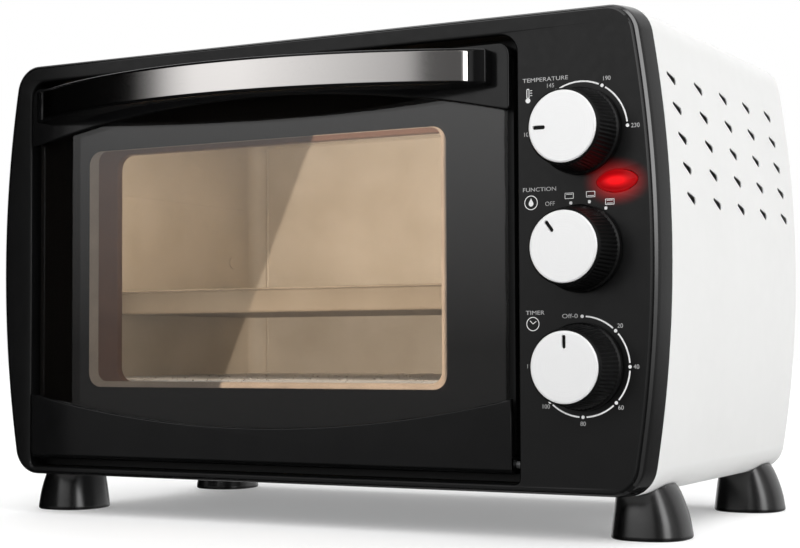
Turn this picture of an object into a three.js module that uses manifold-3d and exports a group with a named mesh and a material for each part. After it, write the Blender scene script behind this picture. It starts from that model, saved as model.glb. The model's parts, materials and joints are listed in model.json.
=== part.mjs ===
// A countertop toaster oven, built from the separate pressings, mouldings and glass of the real appliance.
// Millimetres, +Z up. The front faces -Y and the control panel is on the +X side.
// Every piece is drawn with y = 0 on the front face of the bezel. The finished oven is then moved along Y,
// so that the origin lies on the table under the middle of its bounding box.

import * as THREE from 'three';
import { mergeVertices } from 'three/addons/utils/BufferGeometryUtils.js';
import Module from 'manifold-3d';

const wasm = await Module();
wasm.setup();

// ---------------------------------------------------------------- driving dimensions

const gap = 0.3; // clearance between pieces that touch

// Casing: a section with bowed sides and rounded corners, lifted off the table by the feet.
const footLift = 22;
const casingHalfWidth = 202.5;
const casingHeight = 234.4;
const casingCorner = 16;
const casingSideRadius = 625;
const casingMidZ = footLift + casingHeight / 2;
const casingTopZ = footLift + casingHeight;
const sheet = 1.2;
const bezelDepth = 12;
const bezelWall = 3;
const bezelFlare = 3.1;
const casingRearY = 222.5;
const rearFlangeWidth = 14;

// Door opening in the bezel, and the door that fills it.
const opening = { left: -178.4, right: 127.9, bottom: 26.9, top: 245.9, corner: 9, lowerCorner: 3 };
const door = { left: -176.5, right: 124.5, bottom: 31.5, top: 242, corner: 6, frontY: -1.8, rearY: 9.7 };
const doorMidX = (door.left + door.right) / 2;
const doorHalfWidth = (door.right - door.left) / 2;
const glass = { frontY: 1, rearY: 5, margin: 3.5, bottom: 40, top: 238.6 };
const windowFrame = { left: -120.5, right: 88.5, bottom: 75, top: 201.2, corner: 8 };
const topTrim = { crown: 226.3, rise: 18 };
const bottomTrim = { crown: 51.4, rise: 16.7 };

// Hinge line along X at the foot of the door.
const hinge = { y: 6, z: 36, pinRadius: 1.8, pinInDoor: 11 };

// Bow handle, an arc in plan, with a steel strip let into its front.
const handle = { reach: 47.3, halfSpan: 141, footY: -9, bottom: 221.2, top: 238.8 };
const handleFoot = { y: door.frontY - gap, halfSpan: 112, innerReach: 38.8 };
const strip = { halfSpan: 134.2, bottom: 222.5, top: 237.5, depth: 1 };

// Controls, one above the other on the panel.
const knob = { x: 161.3, baseRadius: 21, tipRadius: 18.2, capRadius: 17, length: 22, ridges: 18 };
const knobHeights = { temperature: 196, function: 139.9, timer: 83.8 };
const pointerAngles = { temperature: -90, function: -36, timer: 0 }; // degrees clockwise from upright
const shaftRadius = 3;
const lens = { x: 179.7, z: 171.4, halfWidth: 10.2, halfHeight: 5.25, rearY: 5, tilt: 0.06 };

// Oven cavity: a sheet-metal box open at the front, with a flange behind the bezel.
const cavity = { left: -168, right: 118, bottom: 43, top: 240, frontY: bezelDepth + 0.8, rearY: 213 };
const cavityWall = 1;
const cavityFlange = { left: -183.5, right: 136, bottom: 25.5, top: 251 };
const cavityMidX = (cavity.left + cavity.right) / 2;
const cavityHalfWidth = (cavity.right - cavity.left) / 2;
const elementRadius = 4;
const elementRows = { upper: 227, lower: 55 };
const elementDepths = { front: 72, rear: 152 };

// Shelf levels: the top face of each ledge on the side walls.
const ledgeLevels = [72.9, 124.9];
const ledgeWidth = 8;
const guidePlate = 0.8;

// Feet and rear fittings.
const footPlaces = { x: 180, frontY: 41, rearY: 199 };
const foot = {
  halfWidth: 19.3, halfDepth: 20, topHalfWidth: 16.6, topHalfDepth: 17.3, lipTop: 27.5, squareness: 3,
};
const rearScrewPlaces = { x: 184, top: casingTopZ - 12, bottom: footLift + 12 };
const gland = { x: 160, z: 52, flangeRadius: 9, barrelRadius: 7, boreRadius: 4, endY: 231.2 };

// The bounding box runs from the front of the handle strip to the end of the cord gland.
const stripFrontY = -(handle.reach + 0.2);
const middleY = (stripFrontY + gland.endY) / 2;

// ---------------------------------------------------------------- finishes

const finishOf = (color, roughness, metalness = 0) =>
  new THREE.MeshStandardMaterial({ color, roughness, metalness });

const finish = {
  satinBlack: finishOf(0x2a2a2a, 0.5),
  glossBlack: finishOf(0x161616, 0.2),
  whitePaint: finishOf(0xf1f1ef, 0.4),
  brushedSteel: finishOf(0xb8b8b8, 0.3, 1),
  spunAluminium: finishOf(0xe4e4e4, 0.35, 0.6),
  zincSteel: finishOf(0x9fa2a4, 0.5, 0.9),
  cavitySteel: finishOf(0xa89a8a, 0.4, 0.8),
  enamel: finishOf(0x24211f, 0.35),
  ceramic: finishOf(0xe6ded0, 0.8),
  innerPlastic: finishOf(0xd9d2c0, 0.6),
  redLens: finishOf(0xd01010, 0.25),
  tintedGlass: new THREE.MeshStandardMaterial({
    color: 0x4a3f36, roughness: 0.05, transparent: true, opacity: 0.4,
  }),
};

// ---------------------------------------------------------------- solids: join and cut

function solidFrom(geometry) {
  const bare = geometry.clone();
  bare.deleteAttribute('normal');
  bare.deleteAttribute('uv');
  const merged = mergeVertices(bare);
  return new wasm.Manifold(new wasm.Mesh({
    numProp: 3,
    vertProperties: merged.attributes.position.array,
    triVerts: Uint32Array.from(merged.index.array),
  }));
}

function geometryFrom(solid) {
  const { vertProperties, triVerts } = solid.getMesh();
  const geometry = new THREE.BufferGeometry();
  geometry.setAttribute('position', new THREE.BufferAttribute(vertProperties, 3));
  geometry.setIndex(new THREE.BufferAttribute(triVerts, 1));
  geometry.computeVertexNormals();
  return geometry;
}

const join = (...pieces) =>
  geometryFrom(pieces.map(solidFrom).reduce((whole, piece) => whole.add(piece)));

const cut = (piece, ...tools) =>
  geometryFrom(tools.map(solidFrom).reduce((rest, tool) => rest.subtract(tool), solidFrom(piece)));

const common = (piece, other) => geometryFrom(solidFrom(piece).intersect(solidFrom(other)));

// ---------------------------------------------------------------- basic shapes

const axisX = new THREE.Vector3(1, 0, 0);
const axisY = new THREE.Vector3(0, 1, 0);
const axisZ = new THREE.Vector3(0, 0, 1);
const facingFront = new THREE.Matrix4().makeBasis(axisX, axisZ, axisY.clone().negate());
const facingSide = new THREE.Matrix4().makeBasis(axisY, axisZ, axisX);

function block(x0, x1, y0, y1, z0, z1) {
  return new THREE.BoxGeometry(x1 - x0, y1 - y0, z1 - z0)
    .translate((x0 + x1) / 2, (y0 + y1) / 2, (z0 + z1) / 2);
}

function rodAlongX(radius, x0, x1, y, z, sides = 16) {
  return new THREE.CylinderGeometry(radius, radius, x1 - x0, sides)
    .rotateZ(Math.PI / 2).translate((x0 + x1) / 2, y, z);
}

function rodAlongY(radius, y0, y1, x, z, sides = 16) {
  return new THREE.CylinderGeometry(radius, radius, y1 - y0, sides)
    .translate(x, (y0 + y1) / 2, z);
}

function rodAlongZ(radius, z0, z1, x, y, sides = 16) {
  return new THREE.CylinderGeometry(radius, radius, z1 - z0, sides)
    .rotateX(Math.PI / 2).translate(x, y, (z0 + z1) / 2);
}

const extruded = (shape, depth, curveSegments) =>
  new THREE.ExtrudeGeometry(shape, { depth, bevelEnabled: false, curveSegments });

/** A plate whose outline is drawn in x and z, from y0 back to y1. */
const uprightPlate = (shape, y0, y1, curveSegments = 6) =>
  extruded(shape, y1 - y0, curveSegments).applyMatrix4(facingFront).translate(0, y1, 0);

/** A plate whose outline is drawn in y and z, from x0 to x1. */
const sidePlate = (shape, x0, x1, curveSegments = 3) =>
  extruded(shape, x1 - x0, curveSegments).applyMatrix4(facingSide).translate(x0, 0, 0);

/** A plate whose outline is drawn in x and y, from z0 up to z1. */
const flatPlate = (shape, z0, z1, curveSegments = 6) =>
  extruded(shape, z1 - z0, curveSegments).translate(0, 0, z0);

/** A solid through a row of outlines with equal point counts, each at its own level along Z. */
function loft(sections) {
  const count = sections[0].points.length;
  const corners = sections.flatMap(({ points, level }) => points.flatMap((p) => [p.x, p.y, level]));
  const faces = [];
  for (let ring = 0; ring < sections.length - 1; ring++) {
    for (let i = 0; i < count; i++) {
      const a = ring * count + i;
      const b = ring * count + ((i + 1) % count);
      faces.push(a, b, b + count, a, b + count, a + count);
    }
  }
  const last = (sections.length - 1) * count;
  for (const [a, b, c] of THREE.ShapeUtils.triangulateShape(sections[0].points, [])) {
    faces.push(c, b, a);
  }
  for (const [a, b, c] of THREE.ShapeUtils.triangulateShape(sections.at(-1).points, [])) {
    faces.push(last + a, last + b, last + c);
  }
  const geometry = new THREE.BufferGeometry();
  geometry.setAttribute('position', new THREE.Float32BufferAttribute(corners, 3));
  geometry.setIndex(faces);
  geometry.computeVertexNormals();
  return geometry;
}

function roundedRectangle(left, right, bottom, top, radius, lower = radius) {
  const shape = new THREE.Shape();
  shape.absarc(right - lower, bottom + lower, lower, -Math.PI / 2, 0);
  shape.absarc(right - radius, top - radius, radius, 0, Math.PI / 2);
  shape.absarc(left + radius, top - radius, radius, Math.PI / 2, Math.PI);
  shape.absarc(left + lower, bottom + lower, lower, Math.PI, Math.PI * 1.5);
  shape.closePath();
  return shape;
}

/** A slot with round ends, centred on a point and turned by an angle. */
function slotOutline(x, y, length, width, angle = 0) {
  const shape = new THREE.Shape();
  const reach = length / 2 - width / 2;
  const dx = reach * Math.cos(angle);
  const dy = reach * Math.sin(angle);
  shape.absarc(x + dx, y + dy, width / 2, angle - Math.PI / 2, angle + Math.PI / 2);
  shape.absarc(x - dx, y - dy, width / 2, angle + Math.PI / 2, angle + Math.PI * 1.5);
  shape.closePath();
  return shape;
}

/** The casing's section seen from the front, drawn inside its outer skin by the two insets. */
function casingOutline(sideInset = 0, edgeInset = sideInset) {
  const corner = casingCorner - edgeInset;
  const sideRadius = casingSideRadius - sideInset;
  const halfWidth = casingHalfWidth - sideInset;
  const lift = casingHeight / 2 - edgeInset - corner;
  const reach = Math.sqrt((sideRadius - corner) ** 2 - lift ** 2);
  const cornerX = halfWidth - sideRadius + reach;
  const tilt = Math.asin(lift / (sideRadius - corner));
  const shape = new THREE.Shape();
  shape.absarc(halfWidth - sideRadius, casingMidZ, sideRadius, -tilt, tilt);
  shape.absarc(cornerX, casingMidZ + lift, corner, tilt, Math.PI / 2);
  shape.absarc(-cornerX, casingMidZ + lift, corner, Math.PI / 2, Math.PI - tilt);
  shape.absarc(sideRadius - halfWidth, casingMidZ, sideRadius, Math.PI - tilt, Math.PI + tilt);
  shape.absarc(-cornerX, casingMidZ - lift, corner, Math.PI + tilt, Math.PI * 1.5);
  shape.absarc(cornerX, casingMidZ - lift, corner, -Math.PI / 2, -tilt);
  return shape;
}

const casingBlock = (inset, y0, y1) => uprightPlate(casingOutline(inset), y0, y1, 3);

function piece(name, geometry, material) {
  const mesh = new THREE.Mesh(geometry, material);
  mesh.name = name;
  return mesh;
}

const bothSides = (make) => [['left', -1], ['right', 1]].flatMap(([side, sign]) => make(side, sign));

// ---------------------------------------------------------------- casing

/** Pointed outline of the indicator lens: two arcs that meet at its ends. */
function lensOutline(clearance = 0) {
  const a = lens.halfWidth + clearance;
  const b = lens.halfHeight + clearance;
  const radius = (a * a + b * b) / (2 * b);
  const sweep = Math.asin(a / radius);
  const shape = new THREE.Shape();
  shape.absarc(0, b - radius, radius, Math.PI / 2 - sweep, Math.PI / 2 + sweep);
  shape.absarc(0, radius - b, radius, -Math.PI / 2 - sweep, -Math.PI / 2 + sweep);
  return shape;
}

const lensPlate = (clearance, y0, y1) =>
  uprightPlate(lensOutline(clearance), y0, y1, 4).rotateY(-lens.tilt).translate(lens.x, 0, lens.z);

function frontBezel() {
  const rings = [
    { y: bezelDepth, side: 0, edge: 0 },
    { y: 3, side: bezelFlare * 0.75, edge: 0.2 },
    { y: 0.8, side: bezelFlare, edge: 0.5 },
    { y: 0, side: bezelFlare + 0.9, edge: 1.3 },
  ];
  const front = loft(rings.map(({ y, side, edge }) => (
    { points: uniquePoints(casingOutline(side, edge)), level: -y }))).applyMatrix4(facingFront);
  const doorway = uprightPlate(roundedRectangle(opening.left, opening.right, opening.bottom,
    opening.top, opening.corner, opening.lowerCorner), -1, bezelDepth + 1, 3);
  const hollow = casingBlock(bezelWall + bezelFlare, bezelWall, bezelDepth + 1);
  const panelHollow = common(hollow,
    block(opening.right + bezelWall, casingHalfWidth, 0, bezelDepth + 1, footLift, casingTopZ));
  const stileHollow = common(hollow,
    block(-casingHalfWidth, opening.left - bezelWall, 0, bezelDepth + 1, footLift, casingTopZ));
  const shaftHoles = Object.values(knobHeights)
    .map((z) => rodAlongY(shaftRadius + 1, -1, bezelWall + 1, knob.x, z, 12));
  const pinHole = hingePinHole(opening.left - bezelWall - 1, opening.right + bezelWall + 1);
  return cut(front, doorway, panelHollow, stileHollow, lensPlate(gap, -1, bezelWall + 1),
    ...shaftHoles, pinHole);
}

/** Outline points of a closed shape, without the repeated ones where its arcs meet. */
function uniquePoints(shape, divisions = 3) {
  const points = shape.getPoints(divisions);
  return points.filter((p, i) => p.distanceTo(points[(i + 1) % points.length]) > 1e-4);
}

/** One tapered vent: narrow at its upper front end, round at its lower rear end. */
function ventOutline(y, z) {
  const vent = { length: 12.4, roundRadius: 2, tipRadius: 0.9, slant: -0.32 };
  const reach = vent.length - vent.roundRadius - vent.tipRadius;
  const wrap = Math.PI / 2 + Math.asin((vent.roundRadius - vent.tipRadius) / reach);
  const along = new THREE.Vector2(Math.cos(vent.slant), Math.sin(vent.slant));
  const shape = new THREE.Shape();
  const centre = new THREE.Vector2(y, z).addScaledVector(along, vent.length / 2 - vent.roundRadius);
  shape.absarc(centre.x, centre.y, vent.roundRadius, vent.slant - wrap, vent.slant + wrap);
  shape.absarc(centre.x - along.x * reach, centre.y - along.y * reach, vent.tipRadius,
    vent.slant + wrap, vent.slant - wrap + 2 * Math.PI);
  shape.closePath();
  return shape;
}

function sideVents() {
  const grid = { rows: 5, columns: 5, firstY: 28.4, firstZ: 222.7, stepY: 39.5, stepZ: 14.3, skewY: 3.2 };
  const vents = [];
  for (let row = 0; row < grid.rows; row++) {
    for (let column = 0; column < grid.columns; column++) {
      const y = grid.firstY + column * grid.stepY + row * grid.skewY;
      vents.push(ventOutline(y, grid.firstZ - row * grid.stepZ));
    }
  }
  const reach = [casingHalfWidth - 14, casingHalfWidth + 4];
  return vents.flatMap((outline) => [
    sidePlate(outline, reach[0], reach[1], 2),
    sidePlate(outline, -reach[1], -reach[0], 2),
  ]);
}

const footCentres = () => bothSides((side, sign) => [
  { end: 'front', side, sign, x: sign * footPlaces.x, y: footPlaces.frontY },
  { end: 'rear', side, sign, x: sign * footPlaces.x, y: footPlaces.rearY },
]);

const rearScrewCentres = () => bothSides((side, sign) => [
  { end: 'top', side, x: sign * rearScrewPlaces.x, z: rearScrewPlaces.top },
  { end: 'bottom', side, x: sign * rearScrewPlaces.x, z: rearScrewPlaces.bottom },
]);

const baseOpening = { halfWidth: 162, rearY: casingRearY - 8 };

function outerShell() {
  const skin = casingBlock(0, bezelDepth + gap, casingRearY);
  const inside = casingBlock(sheet, bezelDepth, casingRearY - 2 * sheet - gap);
  const rearWindow = casingBlock(rearFlangeWidth, casingRearY - 5, casingRearY + 1);
  const rearRecess = casingBlock(sheet, casingRearY - sheet - gap, casingRearY + 1);
  const underside = block(-baseOpening.halfWidth, baseOpening.halfWidth, bezelDepth,
    baseOpening.rearY, footLift - 1, footLift + 2);
  const footHoles = footCentres().map(({ x, y }) => rodAlongZ(2.4, footLift - 1, footLift + 2, x, y, 12));
  const screwHoles = rearScrewCentres()
    .map(({ x, z }) => rodAlongY(2, casingRearY - 6, casingRearY + 1, x, z, 12));
  return cut(skin, inside, rearWindow, rearRecess, underside, ...footHoles, ...screwHoles,
    ...sideVents());
}

function basePlate() {
  const plate = block(-baseOpening.halfWidth + gap, baseOpening.halfWidth - gap,
    bezelDepth + gap, baseOpening.rearY - gap, footLift, footLift + sheet);
  const slots = [];
  for (const y of [100, 140]) {
    for (const x of [-110, -55, 0, 55]) {
      slots.push(flatPlate(slotOutline(x, y, 40, 5), footLift - 1, footLift + 3, 1));
    }
  }
  return cut(plate, ...slots);
}

function rearPanel() {
  const plate = casingBlock(sheet + gap, casingRearY - sheet, casingRearY);
  const cableHole = rodAlongY(gland.barrelRadius - 1 + gap, casingRearY - 3, casingRearY + 1,
    gland.x, gland.z);
  const screwHoles = rearScrewCentres()
    .map(({ x, z }) => rodAlongY(2, casingRearY - 3, casingRearY + 1, x, z, 12));
  const slots = [];
  for (const z of [176, 190, 204, 218]) {
    for (const x of [-110, -40, 30]) {
      slots.push(uprightPlate(slotOutline(x, z, 52, 5), casingRearY - 3, casingRearY + 1, 1));
    }
  }
  return cut(plate, cableHole, ...screwHoles, ...slots);
}

/** Plan of a foot, between an ellipse and a rectangle. */
const footOutline = (x, y, { halfWidth, halfDepth }) => Array.from({ length: 20 }, (_, i) => {
  const [c, s] = [Math.cos(i * Math.PI / 10), Math.sin(i * Math.PI / 10)];
  const spread = (Math.abs(c) ** foot.squareness + Math.abs(s) ** foot.squareness) ** (-1 / foot.squareness);
  return new THREE.Vector2(x + halfWidth * spread * c, y + halfDepth * spread * s);
});

function footBlock({ x, y }) {
  const steps = [
    { level: 0, halfWidth: foot.halfWidth - 0.6, halfDepth: foot.halfDepth - 0.6 },
    { level: 1.2, halfWidth: foot.halfWidth, halfDepth: foot.halfDepth },
    { level: 8, halfWidth: foot.halfWidth - 0.9, halfDepth: foot.halfDepth - 0.9 },
    { level: footLift - gap, halfWidth: foot.topHalfWidth, halfDepth: foot.topHalfDepth },
    { level: foot.lipTop, halfWidth: foot.topHalfWidth, halfDepth: foot.topHalfDepth - 1.5 },
  ];
  const whole = loft(steps.map((step) => ({ level: step.level, points: footOutline(x, y, step) })));
  const screwHead = rodAlongZ(5, -1, 14, x, y, 12);
  const screwHole = rodAlongZ(2.4, 0, footLift + 1, x, y, 12);
  return cut(whole, casingBlock(-gap, 0, casingRearY), screwHead, screwHole);
}

/** A pan-head screw pointing along +Z, its head's underside at z = 0. */
function screw(headRadius, headHeight, shankRadius, shankLength) {
  const profile = [
    new THREE.Vector2(0, -headHeight),
    new THREE.Vector2(headRadius * 0.8, -headHeight),
    new THREE.Vector2(headRadius, 0),
    new THREE.Vector2(shankRadius, 0),
    new THREE.Vector2(shankRadius, shankLength),
    new THREE.Vector2(0, shankLength),
  ];
  return new THREE.LatheGeometry(profile, 10).rotateX(Math.PI / 2);
}

function cordGland() {
  const barrel = rodAlongY(gland.barrelRadius, casingRearY + gap, gland.endY, gland.x, gland.z);
  const flange = rodAlongY(gland.flangeRadius, casingRearY + gap, casingRearY + 3, gland.x, gland.z);
  const neck = rodAlongY(gland.barrelRadius - 1, casingRearY - 8, casingRearY + 2, gland.x, gland.z);
  const bore = rodAlongY(gland.boreRadius, casingRearY - 9, gland.endY + 1, gland.x, gland.z, 12);
  return cut(join(barrel, flange, neck), bore);
}

function casing() {
  const group = new THREE.Group();
  group.add(
    piece('front_bezel', frontBezel(), finish.satinBlack),
    piece('outer_shell', outerShell(), finish.whitePaint),
    piece('base_plate', basePlate(), finish.zincSteel),
    piece('rear_panel', rearPanel(), finish.zincSteel),
    piece('cord_gland', cordGland(), finish.satinBlack),
  );
  for (const place of footCentres()) {
    const label = `${place.end}_${place.side}`;
    const fastener = screw(4.2, 2.4, 2, 10).translate(place.x, place.y, 14 - gap);
    group.add(piece(`foot_${label}`, footBlock(place), finish.glossBlack));
    group.add(piece(`foot_screw_${label}`, fastener, finish.zincSteel));
  }
  for (const { end, side, x, z } of rearScrewCentres()) {
    const fastener = screw(3.6, 2, 1.6, 8).rotateX(Math.PI / 2).translate(x, casingRearY + gap, z);
    group.add(piece(`rear_screw_${end}_${side}`, fastener, finish.zincSteel));
  }
  return group;
}

// ---------------------------------------------------------------- door

/** The door's front outline above an arched edge (top trim) or below a dished one (bottom trim). */
function trimOutline(edgeZ, curveCrown, rise) {
  const radius = (doorHalfWidth ** 2 + rise ** 2) / (2 * rise);
  const sweep = Math.asin(doorHalfWidth / radius);
  const shape = new THREE.Shape();
  if (edgeZ > curveCrown) {
    shape.moveTo(door.right, edgeZ);
    shape.lineTo(door.left, edgeZ);
    shape.absarc(doorMidX, curveCrown - radius, radius, Math.PI / 2 + sweep, Math.PI / 2 - sweep, true);
  } else {
    shape.moveTo(door.left, edgeZ);
    shape.lineTo(door.right, edgeZ);
    shape.absarc(doorMidX, curveCrown + radius, radius, -Math.PI / 2 + sweep, -Math.PI / 2 - sweep, true);
  }
  shape.closePath();
  return shape;
}

const handleScrewPlaces = () => bothSides((side, sign) => [
  { side, x: doorMidX + sign * 126, z: (handle.bottom + handle.top) / 2 },
]);

const handleScrewHoles = (radius) => handleScrewPlaces()
  .map(({ x, z }) => rodAlongY(radius, handleFoot.y - 8, door.rearY + 1, x, z, 12));

const hingePinHole = (x0, x1) => rodAlongX(hinge.pinRadius + gap, x0, x1, hinge.y, hinge.z, 12);

function doorTopTrim() {
  const face = uprightPlate(trimOutline(door.top, topTrim.crown, topTrim.rise),
    door.frontY, glass.frontY - gap, 10);
  const cap = block(door.left, door.right, door.frontY, door.rearY, glass.top + gap, door.top);
  const silhouette = uprightPlate(roundedRectangle(door.left, door.right, door.bottom, door.top,
    door.corner), door.frontY - 1, door.rearY + 1, 2);
  return cut(common(join(face, cap), silhouette), ...handleScrewHoles(2.3));
}

function doorBottomTrim() {
  const face = uprightPlate(trimOutline(door.bottom, bottomTrim.crown, bottomTrim.rise),
    door.frontY, glass.frontY - gap, 10);
  const sill = block(door.left, door.right, door.frontY, door.rearY, door.bottom, glass.bottom - gap);
  const toe = new THREE.Shape([
    new THREE.Vector2(door.frontY - 1, door.bottom - 1),
    new THREE.Vector2(door.frontY + 3, door.bottom - 1),
    new THREE.Vector2(door.frontY - 1, door.bottom + 3),
  ]);
  return cut(join(face, sill), sidePlate(toe, door.left - 1, door.right + 1),
    hingePinHole(door.left - 1, door.left + hinge.pinInDoor + gap),
    hingePinHole(door.right - hinge.pinInDoor - gap, door.right + 1));
}

function doorGlass() {
  const pane = roundedRectangle(door.left + glass.margin, door.right - glass.margin,
    glass.bottom + 3, glass.top, 3);
  return cut(uprightPlate(pane, glass.frontY, glass.rearY, 2), ...handleScrewHoles(3));
}

/** Pressed frame behind the glass: a flat ring with a lip turned back round its window and its edge. */
function doorInnerFrame() {
  const plate = 1.2;
  const back = glass.rearY + gap;
  const whole = block(door.left, door.right, glass.frontY, door.rearY, glass.bottom, glass.top);
  const glassPocket = block(door.left + glass.margin - gap, door.right - glass.margin + gap,
    glass.frontY - 1, back, glass.bottom + 3 - gap, glass.top + 1);
  const seeThrough = uprightPlate(roundedRectangle(windowFrame.left, windowFrame.right,
    windowFrame.bottom, windowFrame.top, windowFrame.corner), 0, door.rearY + 1, 3);
  const channelOuter = uprightPlate(roundedRectangle(door.left + plate, door.right - plate,
    glass.bottom + 6, glass.top - plate, 3), back + plate, door.rearY + 1, 2);
  const channelInner = uprightPlate(roundedRectangle(windowFrame.left - plate, windowFrame.right + plate,
    windowFrame.bottom - plate, windowFrame.top + plate, windowFrame.corner + plate),
  back, door.rearY + 2, 3);
  return cut(whole, glassPocket, seeThrough, cut(channelOuter, channelInner),
    ...handleScrewHoles(2.3));
}

/** Plan outline of a bow between two half spans, from its feet at footY to its crown at -reach. */
function bowOutline(outer, inner) {
  const arc = ({ halfSpan, footY, reach }) => {
    const rise = reach + footY;
    const radius = (halfSpan ** 2 + rise ** 2) / (2 * rise);
    return { centreY: radius - reach, radius, sweep: Math.asin(halfSpan / radius) };
  };
  const front = arc(outer);
  const back = arc(inner);
  const down = -Math.PI / 2;
  const shape = new THREE.Shape();
  shape.absarc(doorMidX, front.centreY, front.radius, down - front.sweep, down + front.sweep);
  shape.lineTo(doorMidX + outer.halfSpan, outer.backY);
  shape.lineTo(doorMidX + inner.halfSpan, outer.backY);
  shape.absarc(doorMidX, back.centreY, back.radius, down + back.sweep, down - back.sweep, true);
  shape.lineTo(doorMidX - outer.halfSpan, outer.backY);
  shape.closePath();
  return shape;
}

/** A curved slice that follows the handle's front face, from a depth behind it to one in front. */
function handleFrontSlice(halfSpan, behind, ahead, z0, z1) {
  const rise = handle.reach + handle.footY;
  const radius = (handle.halfSpan ** 2 + rise ** 2) / (2 * rise);
  const sweep = Math.asin(halfSpan / radius);
  const down = -Math.PI / 2;
  const shape = new THREE.Shape();
  shape.absarc(doorMidX, radius - handle.reach, radius + ahead, down - sweep, down + sweep);
  shape.absarc(doorMidX, radius - handle.reach, radius - behind, down + sweep, down - sweep, true);
  shape.closePath();
  return flatPlate(shape, z0, z1, 10);
}

function handleGrip() {
  const outline = bowOutline(
    { halfSpan: handle.halfSpan, footY: handle.footY, reach: handle.reach, backY: handleFoot.y },
    { halfSpan: handleFoot.halfSpan, footY: handleFoot.y, reach: handleFoot.innerReach });
  const bar = flatPlate(outline, handle.bottom, handle.top, 10);
  const pocket = handleFrontSlice(strip.halfSpan + gap, strip.depth + gap, 2,
    strip.bottom - gap, strip.top + gap);
  const screwHoles = handleScrewPlaces()
    .map(({ x, z }) => rodAlongY(2.3, -9, handleFoot.y + 1, x, z, 12));
  return cut(bar, pocket, ...screwHoles);
}

const handleStrip = () => handleFrontSlice(strip.halfSpan, strip.depth, 0.2, strip.bottom, strip.top);

function doorAssembly() {
  const group = new THREE.Group();
  group.add(
    piece('door_glass', doorGlass(), finish.tintedGlass),
    piece('door_inner_frame', doorInnerFrame(), finish.enamel),
    piece('door_top_trim', doorTopTrim(), finish.glossBlack),
    piece('door_bottom_trim', doorBottomTrim(), finish.glossBlack),
    piece('handle_grip', handleGrip(), finish.glossBlack),
    piece('handle_strip', handleStrip(), finish.brushedSteel),
  );
  for (const { side, x, z } of handleScrewPlaces()) {
    const fastener = screw(3.6, 2, 1.9, 14).rotateX(Math.PI / 2)
      .translate(x, glass.rearY + 1.2 + 2 * gap, z);
    group.add(piece(`handle_screw_${side}`, fastener, finish.zincSteel));
  }
  const pinEnds = [
    ['left', opening.left - bezelWall - sheet - 2 * gap, door.left + hinge.pinInDoor],
    ['right', door.right - hinge.pinInDoor, opening.right + bezelWall + sheet + 2 * gap],
  ];
  for (const [side, x0, x1] of pinEnds) {
    const pin = rodAlongX(hinge.pinRadius, x0, x1, hinge.y, hinge.z);
    group.add(piece(`hinge_pin_${side}`, pin, finish.zincSteel));
  }
  return group;
}

/** Bracket behind the bezel that carries one hinge pin: a cheek with the pin hole and a turned tab. */
function hingeBracket(sign, cheekX) {
  const reach = sign * 4;
  const [x0, x1] = [cheekX, cheekX + sign * sheet].sort((a, b) => a - b);
  const [tab0, tab1] = [cheekX, cheekX + reach].sort((a, b) => a - b);
  const cheek = block(x0, x1, bezelWall + gap, bezelDepth - gap, hinge.z - 4, hinge.z + 22);
  const tab = block(tab0, tab1, bezelDepth - gap - sheet, bezelDepth - gap, hinge.z + 6, hinge.z + 22);
  return cut(join(cheek, tab), hingePinHole(x0 - 1, x1 + 1));
}

// ---------------------------------------------------------------- controls

const knobBore = { depth: 16 };

/** Knob body: a tapered cylinder with ridges round its side and a shallow seat for the cap. */
function knobBody() {
  const points = (radius, ridge) => Array.from({ length: knob.ridges * 2 }, (_, i) => {
    const r = radius - (i % 2 === 0 ? ridge : 0);
    const angle = (i / (knob.ridges * 2)) * Math.PI * 2;
    return new THREE.Vector2(r * Math.cos(angle), r * Math.sin(angle));
  });
  const whole = loft([
    { level: 0.8, points: points(knob.baseRadius, 0) },
    { level: 4, points: points(knob.baseRadius, 0) },
    { level: 4.5, points: points(knob.baseRadius - 0.9, 0.7) },
    { level: knob.length - 2, points: points(knob.tipRadius, 0.7) },
    { level: knob.length, points: points(knob.tipRadius - 0.5, 0) },
  ]);
  const seat = new THREE.CylinderGeometry(knob.capRadius + gap, knob.capRadius + gap, 2, 24)
    .rotateX(Math.PI / 2).translate(0, 0, knob.length);
  const bore = new THREE.CylinderGeometry(shaftRadius + gap, shaftRadius + gap, knobBore.depth, 12)
    .rotateX(Math.PI / 2).translate(0, 0, knobBore.depth / 2);
  return cut(whole, seat, bore);
}

/** Spun metal cap with a pointer slot, upright at angle 0. */
function knobCap() {
  const base = knob.length - 1 + gap;
  const disc = new THREE.LatheGeometry([
    new THREE.Vector2(0, base),
    new THREE.Vector2(knob.capRadius, base),
    new THREE.Vector2(knob.capRadius, base + 0.9),
    new THREE.Vector2(knob.capRadius - 0.6, base + 1.4),
    new THREE.Vector2(0, base + 1.5),
  ], 24).rotateX(Math.PI / 2);
  const pointer = flatPlate(slotOutline(0, knob.capRadius - 5, 6.4, 2, Math.PI / 2),
    knob.length - 2, knob.length + 3, 2);
  return cut(disc, pointer);
}

/** Spindle with a flat on the end that enters the knob. */
function knobShaft() {
  const front = knobBore.depth - gap - 1.5;
  const back = 19;
  const round = new THREE.CylinderGeometry(shaftRadius, shaftRadius, front + back, 12)
    .rotateX(Math.PI / 2).translate(0, 0, (front - back) / 2);
  const flat = block(-4, 4, 2, 5, 5, front + 1);
  return cut(round, flat);
}

/** A knob set stands on its side: local +Z points at the user and local +Y is up. */
function knobSet(name) {
  const group = new THREE.Group();
  group.add(
    piece(`${name}_knob`, knobBody(), finish.satinBlack),
    piece(`${name}_knob_cap`, knobCap(), finish.spunAluminium),
    piece(`${name}_shaft`, knobShaft(), finish.zincSteel),
  );
  group.rotateX(Math.PI / 2);
  group.rotateZ(-THREE.MathUtils.degToRad(pointerAngles[name]));
  group.position.set(knob.x, 0, knobHeights[name]);
  return group;
}

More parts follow.
